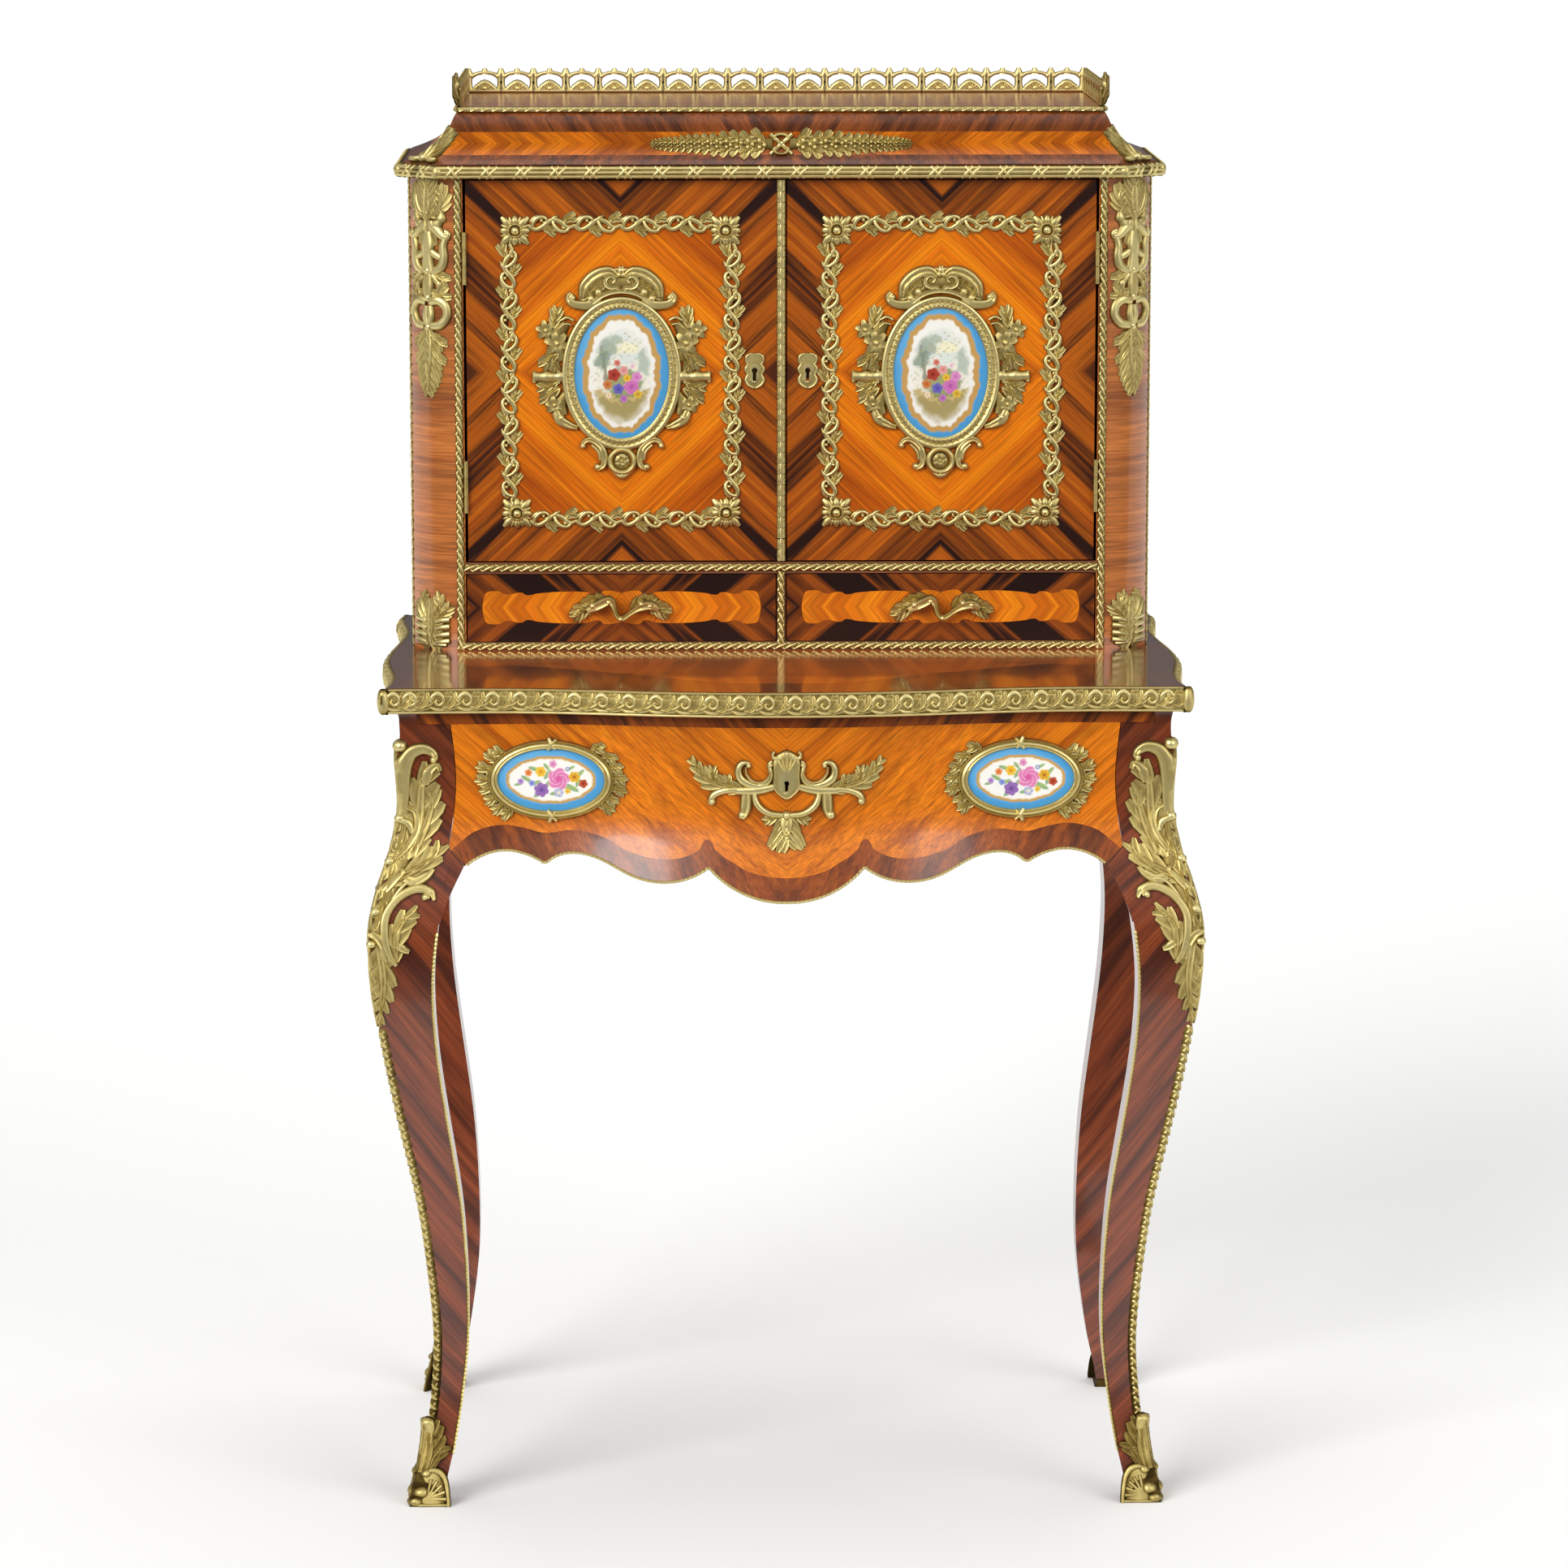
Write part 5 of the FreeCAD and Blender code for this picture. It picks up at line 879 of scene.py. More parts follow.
rim_skin = skin_of("table_edge_moulding")
rim_height = 748.5
rim_line = []
for turn in np.radians(np.linspace(-178, 178, 720)):
    way = Vector((math.sin(turn), -math.cos(turn), 0))
    rim_line.append(rim_skin.ray_cast(Vector((0, 0, rim_height / 1000)) + way * 0.6, -way)[0] * 1000)
rim_line = np.array(rim_line)
heading = np.gradient(rim_line, axis=0)
aside = np.column_stack([heading[:, 1], -heading[:, 0], np.zeros(len(heading))])
aside /= np.linalg.norm(aside, axis=1)[:, None]
inset = rim_line - aside * 7.6
inset[:, 2] = rim_height
turned = np.sum(aside[1:] * aside[:-1], axis=1) < 0.9
starts = [0] + [int(i) + 1 for i in np.flatnonzero(turned)] + [len(inset)]
lines = [(inset[a:b], aside[a:b]) for a, b in zip(starts, starts[1:]) if b - a > 6]
fit(flush(casting_run("table_edge_waves", lines, wave, 24)), "desk", "gilt_brass", "table_edge_moulding")
bends = [(inset[a - 1][:2] + inset[a % len(inset)][:2]) / 2 for a in starts[1:]]
fit(rounded_corners("table_edge_corners", bends, rim_height, 11.3, 4.6, 0.9), "desk", "gilt_brass")


# The cabinet case: a softwood carcase with kingwood on its sides and on the rounded
# corner posts, where the fibre lies level. The back is a plain stained board, and the
# boards inside are thin mahogany.
finish, tree, folded = polished_wood("kingwood_posts", (0, 200, -1000))
place = add(tree, "ShaderNodeSeparateXYZ", {0: folded})
out = add(tree, "ShaderNodeMath", {0: place.outputs[0], 1: place.outputs[1]}, operation="SUBTRACT")
level = add(tree, "ShaderNodeCombineXYZ", {0: out, 1: place.outputs[2], 2: 0.0})
# The posts' kingwood is paler than the kingwood elsewhere: partly its own tone and partly a painted highlight
# that stands for the posts' sheen.
veneered(tree, lay(tree, level, TOP_FACE, 0, ("#D07C38", "#AA5C22", "#643014"), 0.6))
dress(finish, "left_corner_post", "right_corner_post")

finish, tree, folded = polished_wood("kingwood_case_sides", (0, 146, 978))
place = add(tree, "ShaderNodeSeparateXYZ", {0: folded})
field_half_depth, field_half_height = 0.058, 0.166
between = add(tree, "ShaderNodeMath", {0: place.outputs[1], 1: field_half_depth}, operation="LESS_THAN")
within = add(tree, "ShaderNodeMath", {0: place.outputs[2], 1: field_half_height}, operation="LESS_THAN")
inner = add(tree, "ShaderNodeMath", {0: between, 1: within}, operation="MULTIPLY")
veneered(tree, lay(tree, folded, SIDE_FACE, 45, kingwood, 0.9),
         (inner, lay(tree, folded, SIDE_FACE, -45, pale_kingwood, 0.55, 1.7)))
dress(finish, "left_cabinet_side", "right_cabinet_side")

# Thin mahogany left nearly bare, matt and plain; its fibre runs level on every face.
finish, tree, folded = polished_wood("mahogany_linings", (0, 0, -1000), 0.5, 0.0)
place = add(tree, "ShaderNodeSeparateXYZ", {0: folded})
facing = add(tree, "ShaderNodeSeparateXYZ", {0: add(tree, "ShaderNodeTexCoord").outputs["Normal"]})
sideways = add(tree, "ShaderNodeMath", {0: facing}, operation="ABSOLUTE")
on_side = add(tree, "ShaderNodeMath", {0: sideways, 1: 0.5}, operation="GREATER_THAN")
turned = add(tree, "ShaderNodeCombineXYZ", {0: place.outputs[1], 1: place.outputs[0], 2: place.outputs[2]})
level = add(tree, "ShaderNodeMix", {0: on_side, 4: folded, 5: turned}, data_type="VECTOR").outputs[1]
veneered(tree, lay(tree, level, FRONT_FACE, 0, ("#8A5430", "#74401F", "#5A2E16"), 0.3))
dress(finish, "cabinet_floor", "cabinet_partitions", "left_drawer_box", "right_drawer_box",
      "frieze_drawer_box", "frieze_drawer_runners")

# Pine planed and stained, dull, with its wide fibre standing upright.
finish, tree, folded = polished_wood("stained_pine_back", (0, 0, -1000), 0.62, 0.0)
veneered(tree, lay(tree, folded, FRONT_FACE, 90, ("#7A4E2C", "#653C20", "#452714"), 0.5))
dress(finish, "cabinet_back")


# The two small drawers: quarter sawn oak fronts with chevrons of tulipwood in a waved
# and notched field, set in a dark band of kingwood whose fibre runs the other way.
def split_about(tree, place, middle):
    """The distance to a piece's own upright middle, and the place with it, for a veneer
    whose sheets meet there"""
    about = add(tree, "ShaderNodeMath", {0: place.outputs[0], 1: middle}, operation="SUBTRACT")
    half = add(tree, "ShaderNodeMath", {0: about}, operation="ABSOLUTE")
    return half, add(tree, "ShaderNodeCombineXYZ", {0: half, 1: 0.0, 2: place.outputs[2]})


drawer_middle, inlay_half_width = 0.148, 0.129
finish, tree, folded = polished_wood("tulipwood_drawer_inlay", (0, 0, 800.3))
place = add(tree, "ShaderNodeSeparateXYZ", {0: folded})
half, split = split_about(tree, place, drawer_middle)
inlay = under_line(tree, half, inlay_half_width, place.outputs[2], 50.0, [
    (0.0, 0.66), (1.0, 0.0), (0.12, 0.78), (0.17, 0.60), (0.26, 0.72), (0.42, 0.74), (0.6, 0.66),
    (0.68, 0.58), (0.72, 0.70), (0.82, 0.62), (0.9, 0.78), (0.96, 0.74), (0.985, 0.5)])
veneered(tree, lay(tree, split, FRONT_FACE, 42, ("#A4520E", "#682C04", "#1E0702"), 1.2, 0.9),
         (inlay, lay(tree, split, FRONT_FACE, -52, ("#F8920C", "#DE6E04", "#984204"), 0.5, 2.4)))
dress(finish, "left_drawer_front", "right_drawer_front")


# The doors: framed boards veneered on the cross, tulipwood quartered into a diamond
# inside the brass border and dark streaked kingwood outside it, its fibre turned the
# other way so that the streaks meet in a V over the middle.
finish, tree, folded = polished_wood("quartered_doors", (0, 0, 1019))
place = add(tree, "ShaderNodeSeparateXYZ", {0: folded})
door_middle, field_half_width, field_half_height = 0.1476, 0.103, 0.137
half, quarter = split_about(tree, place, door_middle)
between = add(tree, "ShaderNodeMath", {0: half, 1: field_half_width}, operation="LESS_THAN")
within = add(tree, "ShaderNodeMath", {0: place.outputs[2], 1: field_half_height}, operation="LESS_THAN")
field = add(tree, "ShaderNodeMath", {0: between, 1: within}, operation="MULTIPLY")
veneered(tree, lay(tree, quarter, FRONT_FACE, 43, ("#D06E10", "#903C04", "#260C04"), 1.1, 0.4),
         (field, lay(tree, quarter, FRONT_FACE, -43, ("#F58C06", "#DC6800", "#9E3E00"), 0.7, 1.9)))
dress(finish, "left_door_panel", "right_door_panel")


# The beadings: strips of stamped brass with a running leaf, nailed round the openings
# and down the posts; the one over the meeting of the doors is wider and is fixed to the
# left door.
bead_unit = [
    ground(bar([(-4.6, 0), (4.6, 0)], [7.4, 7.4], [1.1, 1.1], sides=7)),
    bar([(-4.8, -2.4), (-2, -0.8), (2, 0.8), (4.8, 2.4)], [2.0, 3.6, 3.6, 2.0],
        [1.8, 2.5, 2.5, 1.8], floor=0, sides=6),
    bar([(-3.6, 2.9), (-0.8, 1.8)], [2.6, 1.6], [2.2, 1.6], floor=0, sides=5),
    bar([(0.8, -1.8), (3.6, -2.9)], [1.6, 2.6], [1.6, 2.2], floor=0, sides=5)]
front = (0, -1, 0)
lines = [([(-296, 10, 764), (296, 10, 764)], front), ([(0, 10, 767), (0, 10, 833.5)], front),
         ([(-293, 10, 837.5), (293, 10, 837.5)], front)]
for side in (-1, 1):
    lines.append(([(side * 296.8, 10, 761), (side * 296.8, 10, 1196.5)], front))
    lines.append(([(side * 341.3, 48.5, 761), (side * 341.3, 48.5, 1196.5)], (side, 0, 0)))
fit(casting_run("cabinet_beadings", lines, bead_unit, 9), "desk", "gilt_brass", "cabinet_beading")

meeting_unit = [
    bar([(-5.6, 0), (5.6, 0)], [8.4, 8.4], [1.7, 1.7], sides=7),
    bar([(-5.6, 0), (0, 0.7), (5.6, 0)], [2.6, 3.6, 2.6], [2.1, 2.4, 2.1], floor=0, sides=6),
    bar([(-4, 3.2), (0, 2)], [1.8, 1.2], [2.1, 1.6], floor=0, sides=5),
    bar([(0, -2), (4, -3.2)], [1.2, 1.8], [1.6, 2.1], floor=0, sides=5)]
fit(casting_run("meeting_beading_relief", [([(0, 10, 844.2), (0, 10, 1195)], front)], meeting_unit, 10),
    "left_door", "gilt_brass", "meeting_beading")


# The door mounts. Each door carries a pierced border of entwined scrolls with a
# petalled rosette on every corner, an oval cartouche with scrolls above, flowers at its
# sides and a pendant rosette, its porcelain plaque and a small rococo escutcheon.
border_unit = [
    bar([(-22, -1), (-15, -5), (-8, -2), (0, 4), (8, 2), (14, -3.4), (22, -1)], [4, 5, 5.6, 5, 5.6, 5, 4],
        [2.2, 2.8, 3.2, 2.8, 3.2, 2.8, 2.2], 0.3, sides=6),
    bar([(-18, -5), (-17.5, 1), (-13, 6), (-7, 6.4), (-4, 2.6), (-8, 1)], [3, 4.4, 5, 4.4, 3.4, 2.4],
        [2, 3.4, 4, 3.8, 3, 2.6], sides=6),
    bar([(0, 5), (2, -1), (7, -6), (13, -6.4), (16, -2.4), (12, -1)], [3, 4.4, 5, 4.4, 3.4, 2.4],
        [2, 3.4, 4, 3.8, 3, 2.6], sides=6),
    *acanthus([(-8, -2), (-3, -5), (3, -7)], [6, 9, 3], 3.2, 2, 40, tip=0.7),
    *acanthus([(10, 2), (15, 5), (21, 7)], [6, 9, 3], 3.2, 2, 40, tip=0.7),
    bar([(-20, 2), (-17, 5), (-13, 8)], [3, 4.4, 2], [2, 3, 2.4], sides=5),
    bar([(-2, 1), (2, 6), (6, 7.6)], [3, 4.4, 2], [2, 3, 2.4], sides=5),
    ball(-9.5, 3.4, 2.2, 4, sides=7), ball(10.5, -3.2, 2.2, 4, sides=7)]
rosette = [ball(0, 0, 4.8, 6, sides=12),
           pierced(oval_loop(8, 8), oval_loop(5, 5), [(0.2, 3.6), (0.6, 4.6), (0.9, 3.4)], 24)]
for k in range(16):
    turn = math.radians(22.5 * k)
    reach, wide, tall = ((14, 8, 4.4), (13.5, 4, 3), (17.5, 8.5, 3.4), (13.5, 4, 3))[k % 4]
    away = np.array([math.cos(turn), math.sin(turn)])
    rosette.append(bar([away * 5, away * reach * 0.75, away * reach], [wide * 0.5, wide, wide * 0.45],
                       [tall, tall + 0.6, tall * 0.5], 0.4, sides=6))

petals = [np.array([math.cos(a), math.sin(a)]) for a in np.radians(np.arange(0, 360, 60) + 15)]


def blossom(u, v, radius, height):
    """A cast flower of six petals round a heart"""
    place = np.array([u, v])
    return [ball(u, v, radius * 0.32, height, sides=8)] + [
        bar([place + p * radius * 0.2, place + p * radius * 0.7, place + p * radius],
            [radius * 0.5, radius * 0.85, radius * 0.4],
            [height * 0.7, height * 0.85, height * 0.55], 0.3, sides=5)
        for p in petals]


half_cartouche = [
    ground(bar([(0, 83), (12, 83), (24, 78), (35, 70)], [15, 20, 20, 9], [3.2, 3.6, 3.6, 3.2])),
    bar([(1, 75), (4, 79.5), (9, 79), (14, 82), (14, 88), (8.5, 90), (5.5, 86.5), (8.5, 84)],
        [4, 5, 5.6, 6, 5.6, 5, 4, 3], [4.8, 5.8, 6.2, 6.4, 6.4, 6, 5.8, 5.4], 0.2),
    bar([(3, 89), (9, 94), (18, 93), (27, 88), (34, 80), (36, 71)], [6, 10, 12, 12, 11, 7],
        [5, 6, 6.4, 6.2, 5.8, 5], 0.35, sides=9),
    *[bar([(x - 2, z - 7), (x, z), (x + 3, z + 3)], [4, 6, 3], [5, 6.2, 5.4], 0.35)
      for x, z in ((14, 90), (21, 87.5), (27.5, 83), (32, 76))],
    *acanthus([(15, 80), (21, 82), (27, 78), (31, 70)], [9, 13, 14, 10], 5.4, 3, 42), ball(21, 75, 4.4, 6.2),
    ball(28, 69, 4.4, 6),
    bar([(0, 76), (9, 75), (18, 71.5), (27, 65)], [6.4, 6.4, 6, 5.4], [5.4, 5.4, 5.2, 5], 0.2),
    bar([(20, 69), (28, 64), (37, 63), (45, 65), (48.5, 70), (45.5, 74)], [7, 9, 10, 9, 8, 6],
        [4.8, 5.6, 6, 6, 5.8, 5.4], 0.25, sides=9),
    ball(44.5, 70, 3.4, 5.8), ball(2, 91, 3.4, 5.6), ball(0.4, 95, 4.2, 6),
    bar([(0, 94), (4, 96), (7, 94.6)], [4, 4, 3], [4.4, 5.4, 4.4]),
    bar([(0, 94), (1.6, 99)], [4, 3], [4.6, 4.6]),
    ground(bar([(51, 46), (57, 38), (59, 26), (55, 12)], [9, 17, 18, 10], [3, 3.2, 3.2, 3])),
    *blossom(59.5, 28, 11.5, 6.2), *blossom(69.5, 40, 9.4, 5.6),
    *acanthus([(63, 42), (61, 51), (59, 60)], [8, 11, 5], 4.6, 2),
    bar([(44, 49), (50, 52), (56, 49)], [3, 3.6, 3], [4, 4.4, 4]),
    bar([(46, 45), (52, 46), (57, 42)], [3, 3.4, 3], [4, 4.4, 4]),
    *acanthus([(58, 19), (65, 16), (72, 7)], [8, 12, 6], 4.8, 2),
    *acanthus([(58, 17), (62, 10), (61, 2)], [6, 9, 5], 4.4, 2),
    bar([(50, -3), (57, -3), (63, -3), (70, -3), (76, -3), (81, -3)], [11, 12, 7.5, 12, 9, 11],
        [4, 5.4, 4.6, 5.8, 5, 5.4]),
    bar([(80.5, -8), (80.5, 2)], [4, 4], [4.4, 4.4]), bar([(58, -9), (58, 3)], [4, 4], [4.6, 4.6]),
    *acanthus([(59, -7), (68, -12), (76, -13)], [8, 11, 5], 4.6, 2),
    *acanthus([(57, -13), (66, -19), (71, -27)], [8, 12, 6], 4.8, 2),
    ground(bar([(51, -18), (56, -28), (53, -38)], [8, 13, 8], [3, 3.2, 3])), *blossom(62, -29, 8.8, 5.8),
    bar([(61, -35), (57, -43), (48, -48), (41, -50)], [8, 10.5, 9, 5], [4.8, 5.6, 5.4, 4.6], 0.3, sides=9),
    ball(56, -41, 4, 5.4),
    bar([(36.5, -66), (33, -62), (27, -62), (19.5, -68), (16.5, -76), (17, -85), (22.5, -88.5)],
        [5, 6.4, 7.4, 8, 8, 7, 5], [4.8, 5.4, 5.8, 5.8, 5.6, 5.4, 5], 0.25, sides=9),
    ball(36, -67, 3.4, 5.6), ball(22.5, -86.5, 3.8, 5.6),
    bar([(28, -66), (22, -72), (20, -80)], [3, 3.6, 3], [4, 4.4, 4]),
]
beads = oval_loop(45.8, 62.1, 72)
cartouche = [pierced(oval_loop(55.5, 71.5), oval_loop(43.3, 59.6), [
    (0.03, 3.0), (0.12, 4.6), (0.3, 5.0), (0.44, 3.8), (0.5, 3.4), (0.62, 4.2), (0.8, 4.4), (0.97, 3.6)], 96)]
cartouche += [ball(u, v, 1.9, 5.4, 2, 6) for u, v in beads]
cartouche += [bar([(u, v), (u * 1.1 + v * 0.02, v * 1.08 - u * 0.02)], [2.6, 1.6], [5.2, 4.4],
                  floor=2, sides=5) for u, v in oval_loop(48.0, 64.4, 60, 0.03)]
cartouche += half_cartouche + flipped(half_cartouche)
pendant = [pierced(oval_loop(14, 13.5), oval_loop(8.4, 8), [(0.1, 4.4), (0.5, 5.8), (0.9, 4.4)], 32),
           ball(0, 0, 9, 1.4)]
pendant += blossom(0, 0, 6.6, 5.2)
pendant += [bar([(-9, -9), (0, -14.5), (9, -9)], [3, 6, 3], [4, 5.4, 4]), ball(0, -12.6, 2, 5.8)]
cartouche += moved(pendant, 0, -81)

shield = [(0, 17), (5, 15.5), (8.5, 12), (7.6, 7), (9.6, 2), (7.4, -3), (9.4, -9), (6, -14), (0, -16.6),
          (-6, -14), (-9.4, -9), (-7.4, -3), (-9.6, 2), (-7.6, 7), (-8.5, 12), (-5, 15.5)]
shield_edge = [bar([(2, 16), (7, 14.4), (8, 9), (5.6, 6)], [2, 3, 3, 2], [2.2, 3, 3, 2.4], sides=6),
               bar([(6, 6), (8.6, 2), (6.6, -3)], [2, 3, 2], [2.2, 3, 2.2], sides=6),
               bar([(6, -3), (8.4, -8), (6, -13), (1, -15.6)], [2, 3, 3, 2.4], [2.2, 3, 3, 2.6], sides=6)]
escutcheon = [pierced(shield, keyhole_loop(2.6, 1.4, 9),
                      [(0.04, 1.6), (0.2, 1.8), (0.6, 1.4), (0.85, 2.2), (0.97, 2.0)], 40)]
escutcheon += shield_edge + flipped(shield_edge)
# The left door has no lock, so a dark plug fills its keyhole as painted shade, standing for the darkness of
# the hole.
keyhole_shade = -0.6
plug, plug_faces, _ = bar([(0, -10), (0, 3.5)], [4.4, 7], [0.5, 0.5])
blind = escutcheon + [(plug, plug_faces, np.full(len(plug), keyhole_shade))]


def glade(paint, u, v):
    """A garden on a rise with a rose bush in flower, under a pale clouded sky"""
    stir = np.sin(u * 0.31 + np.sin(v * 0.23) * 2) * 0.5 + np.sin(v * 0.47 + np.sin(u * 0.19) * 3) * 0.5
    rough = np.sin(u * 0.9 + np.sin(v * 0.7) * 2) * 0.5 + np.sin(v * 1.1 + np.sin(u * 0.6) * 2) * 0.5
    edge = 1 - np.hypot(u / 29, (v + 2) / 45) + stir * 0.05
    paint_over(paint, edge * 5, "#EFEBDA")
    paint_over(paint, edge * 5 * np.clip((v - 4 + stir * 9) / 26, 0, 1), "#D5E0DC", 0.7)
    paint_over(paint, edge * 5 * np.clip(1 - np.hypot((u - 6) / 22, (v - 24) / 7) + stir * 0.3, 0, 1),
               "#F6EFC8", 0.9)
    trunk = 1.6 - np.abs(u + 15 + v * 0.12 - stir) / 1.6
    paint_over(paint, np.minimum(trunk, (v + 16) / 4) * (v < 26), "#7C7460", 0.8)
    for at, wide, tall, leaf in (
            ((-15, 24), 13, 10, "#93A394"), ((-18, 13), 9, 9, "#7F917C"), ((21, 12), 7, 16, "#AAB9AC"),
            ((-8, 30), 9, 6, "#A9B5A2")):
        spread = 1 - np.hypot((u - at[0]) / wide, (v - at[1]) / tall) + stir * 0.25 + rough * 0.12
        paint_over(paint, np.minimum(spread * 3, edge * 6), leaf, 0.8)
    soil = (-17 - v + stir * 3 + np.abs(u) * 0.12) / 3
    paint_over(paint, np.minimum(soil, edge * 5), "#C9B072", 0.95)
    paint_over(paint, np.minimum(soil - 2 + rough, edge * 5), "#8E8450", 0.6)
    bush = 1 - np.hypot((u - 3) / 19, (v + 9) / 17) + stir * 0.1 + rough * 0.12
    paint_over(paint, np.minimum(bush * 4, edge * 6), "#7C8C52", 0.85)
    paint_over(paint, np.minimum((bush - 0.3) * 3 * (rough + 0.6), edge * 6), "#A6A864", 0.7)
    for at, size, colour, heart, folds in (
            ((9, -12), 7.6, "#E48CC6", "#B85AA4", 1), ((-7, -1), 6.2, "#C8503A", "#8A2A20", 1),
            ((2, 3), 4.6, "#EEB8B0", "#D07A78", 1), ((14, -3), 5.0, "#E9A6D2", "#C66AAE", 1),
            ((-3, -14), 5.2, "#8078C8", "#5048A0", 1), ((5, -4), 3.6, "#F0C840", "#C88A20", 0),
            ((-13, -10), 4.4, "#E09050", "#B05A28", 1), ((15, -19), 4.2, "#E8C24C", "#B88A28", 0),
            ((-4, 10), 3.2, "#E8907C", "#B85A4C", 1), ((2, -23), 3.6, "#D084C8", "#9A54A0", 1),
            ((-12, -20), 2.8, "#F0E2C8", "#D8A860", 0), ((10, 7), 2.6, "#F2D8DC", "#D890A8", 0)):
        flower(paint, u, v, at, size, 5, colour, heart, at[0] * 0.9, folds)


door_face = 10


def on_door(verts):
    """Lays flat castings on the face of the doors and drawers, which looks to the front"""
    u, v, h = np.asarray(verts).T
    return np.column_stack([u, door_face - h, v])


plaque_x, plaque_z, plaque_half_width, plaque_half_height = 147, 1018, 43.3, 59.6
escutcheon_x, escutcheon_z = 24.5, 1020
border_near, border_far, low, high = 45, 250.3, 882.5, 1155.5
for side, door in ((-1, "left_door"), (1, "right_door")):
    west, east = sorted((side * border_near, side * border_far))
    lines = [([(west + 22, door_face, z), (east - 22, door_face, z)], front) for z in (low, high)]
    lines += [([(x, door_face, low + 22), (x, door_face, high - 22)], front) for x in (west, east)]
    fit(casting_run(door + "_border_scrolls", lines, border_unit, 36), door, "gilt_brass")
    corners = [piece for x in (west + 6, east - 6) for z in (low + 6, high - 6)
               for piece in moved(rosette, x, z)]
    cast(door + "_rosettes", corners, on_door, door, door + "_border")
    cast(door + "_cartouche", moved(cartouche, side * plaque_x, plaque_z), on_door, door,
         door + "_plaque_frame")
    picture = plaque(door + "_painting", (side * plaque_x, plaque_z), plaque_half_width,
                     plaque_half_height, 190, on_door, glade, (6.4, 11.6, 2.4))
    fit(picture, door, "porcelain", door + "_plaque")
    mount = moved(escutcheon if side > 0 else blind, side * escutcheon_x, escutcheon_z)
    cast(door + "_shield", mount, on_door, door, door + "_escutcheon")


# The grips of the small drawers are rococo castings of two leafy branches that meet in
# a V: their leaves lie on the wood and the stems between them stand off it.
grip = [
    *acanthus([(-24, 3), (-33, 1), (-43, -7)], [11, 14, 6], 9, 3, 40),
    *acanthus([(-12, 6), (-21, 7), (-31, 3)], [12, 15, 8], 13, 3, 40),
    bar([(-31, -1), (-23, 3), (-15, 7), (-10, 9), (-6.5, 4), (-4, -4), (0, -8), (5, -6), (12, -1),
         (20, 3), (28, 4), (35, 0)],
        [6, 10, 11, 10, 6.4, 4.8, 6, 5, 6.4, 10, 10, 6],
        [10, 14, 16, 16, 15, 14.6, 15, 14.6, 15, 15.6, 15, 10], 0.3, floor=8),
    ball(-26, 4, 5, 14), ball(-11, 7.6, 5, 16), ball(0, -8, 3.4, 16, 8), ball(19, 6, 4.6, 16),
    ball(27, 4, 5, 15),
    *acanthus([(10, 0), (19, 5), (29, 6)], [11, 15, 8], 13, 3, 40),
    *acanthus([(25, 4), (34, 1), (43, -4)], [12, 14, 6], 9, 3, 40),
]
for centre, body in ((-149, "left_drawer"), (149, "right_drawer")):
    cast(body + "_grip", moved(grip, centre, 799), on_door, body, body + "_handle")
dress(plain_brass, "left_door_hinge_leaves", "right_door_hinge_leaves", "case_hinges")


# The mounts on the rounded posts: at the head a crest of leaves over scrolls, a pierced
# strap and a hanging leaf, at the foot a spray of acanthus, all symmetrical about the
# corner and bent to the post.
post_skin = skin_of("right_corner_post")
post_middle = Vector((0.3005, 0.045, 1.1))
turns = np.radians(np.linspace(-4, 94, 40))
round_post = []
for turn in turns:
    away = Vector((math.sin(turn), -math.cos(turn), 0))
    hit = post_skin.ray_cast(post_middle + away * 0.1, -away)[0]
    round_post.append((hit.x * 1000, hit.y * 1000))
round_post = np.array(round_post)
post_run = np.r_[0, np.cumsum(np.linalg.norm(np.diff(round_post, axis=0), axis=1))]
post_run -= np.interp(math.radians(45), turns, post_run)


def on_post(side, verts):
    """Lays flat castings round a post, u from the middle of its bend"""
    u, v, h = np.asarray(verts, float).T
    turn = np.interp(u, post_run, turns)
    x = np.interp(u, post_run, round_post[:, 0]) + h * np.sin(turn)
    y = np.interp(u, post_run, round_post[:, 1]) - h * np.cos(turn)
    return np.column_stack([side * x, y, v])


head_half = [
    *acanthus([(3, 1162), (11, 1168), (15, 1179), (13, 1188)], [12, 17, 15, 7], 3.4, 4),
    *blossom(0, 1165, 8, 4.4)[:6],
    bar([(2, 1152), (9, 1154), (14, 1160), (15, 1168)], [10, 13, 12, 8], [3, 3.8, 3.8, 3.2], teeth=3),
    bar([(3, 1156), (10, 1150), (15, 1145), (20, 1143), (21.5, 1147), (18, 1149)], [9, 12, 11, 9, 6, 5],
        [3, 3.8, 4, 4, 3.8, 3.4]),
    ball(19, 1146, 3.4, 4.3),
    bar([(19, 1144), (16, 1135), (16.5, 1125), (14, 1116), (6, 1111)], [7, 8.6, 9.4, 10, 8],
        [3.6, 4, 4, 3.8, 3.4]),
    bar([(0, 1148), (2, 1136), (1, 1126), (3, 1110)], [10, 12, 10, 11], [3, 3.8, 3.8, 3.4]),
    bar([(2, 1131), (8, 1127), (15, 1124)], [7, 8.4, 7], [3, 3.4, 3]),
    *acanthus([(3, 1114), (11, 1107), (19, 1103)], [9, 14, 6], 3.8, 3),
    *acanthus([(3, 1094), (11, 1089), (19, 1092)], [9, 14, 6], 3.8, 3),
    bar([(5, 1108), (12, 1100), (10, 1091)], [5, 7, 5], [3, 3.6, 3], teeth=2),
    bar([(2, 1083), (11, 1085), (18, 1080), (19, 1071), (13, 1063), (4, 1061)],
        [8, 10, 9.6, 9.4, 10, 8], [3.4, 4, 4, 4, 4, 3.6]),
    bar([(2, 1080), (3, 1070), (1, 1062)], [7, 8, 7], [3, 3.6, 3.2]),
    *acanthus([(2, 1055), (9, 1049), (15, 1043)], [8, 12, 6], 3.4, 2),
    *acanthus([(3, 1041), (9, 1034), (13, 1027)], [8, 12, 6], 3.4, 2),
]
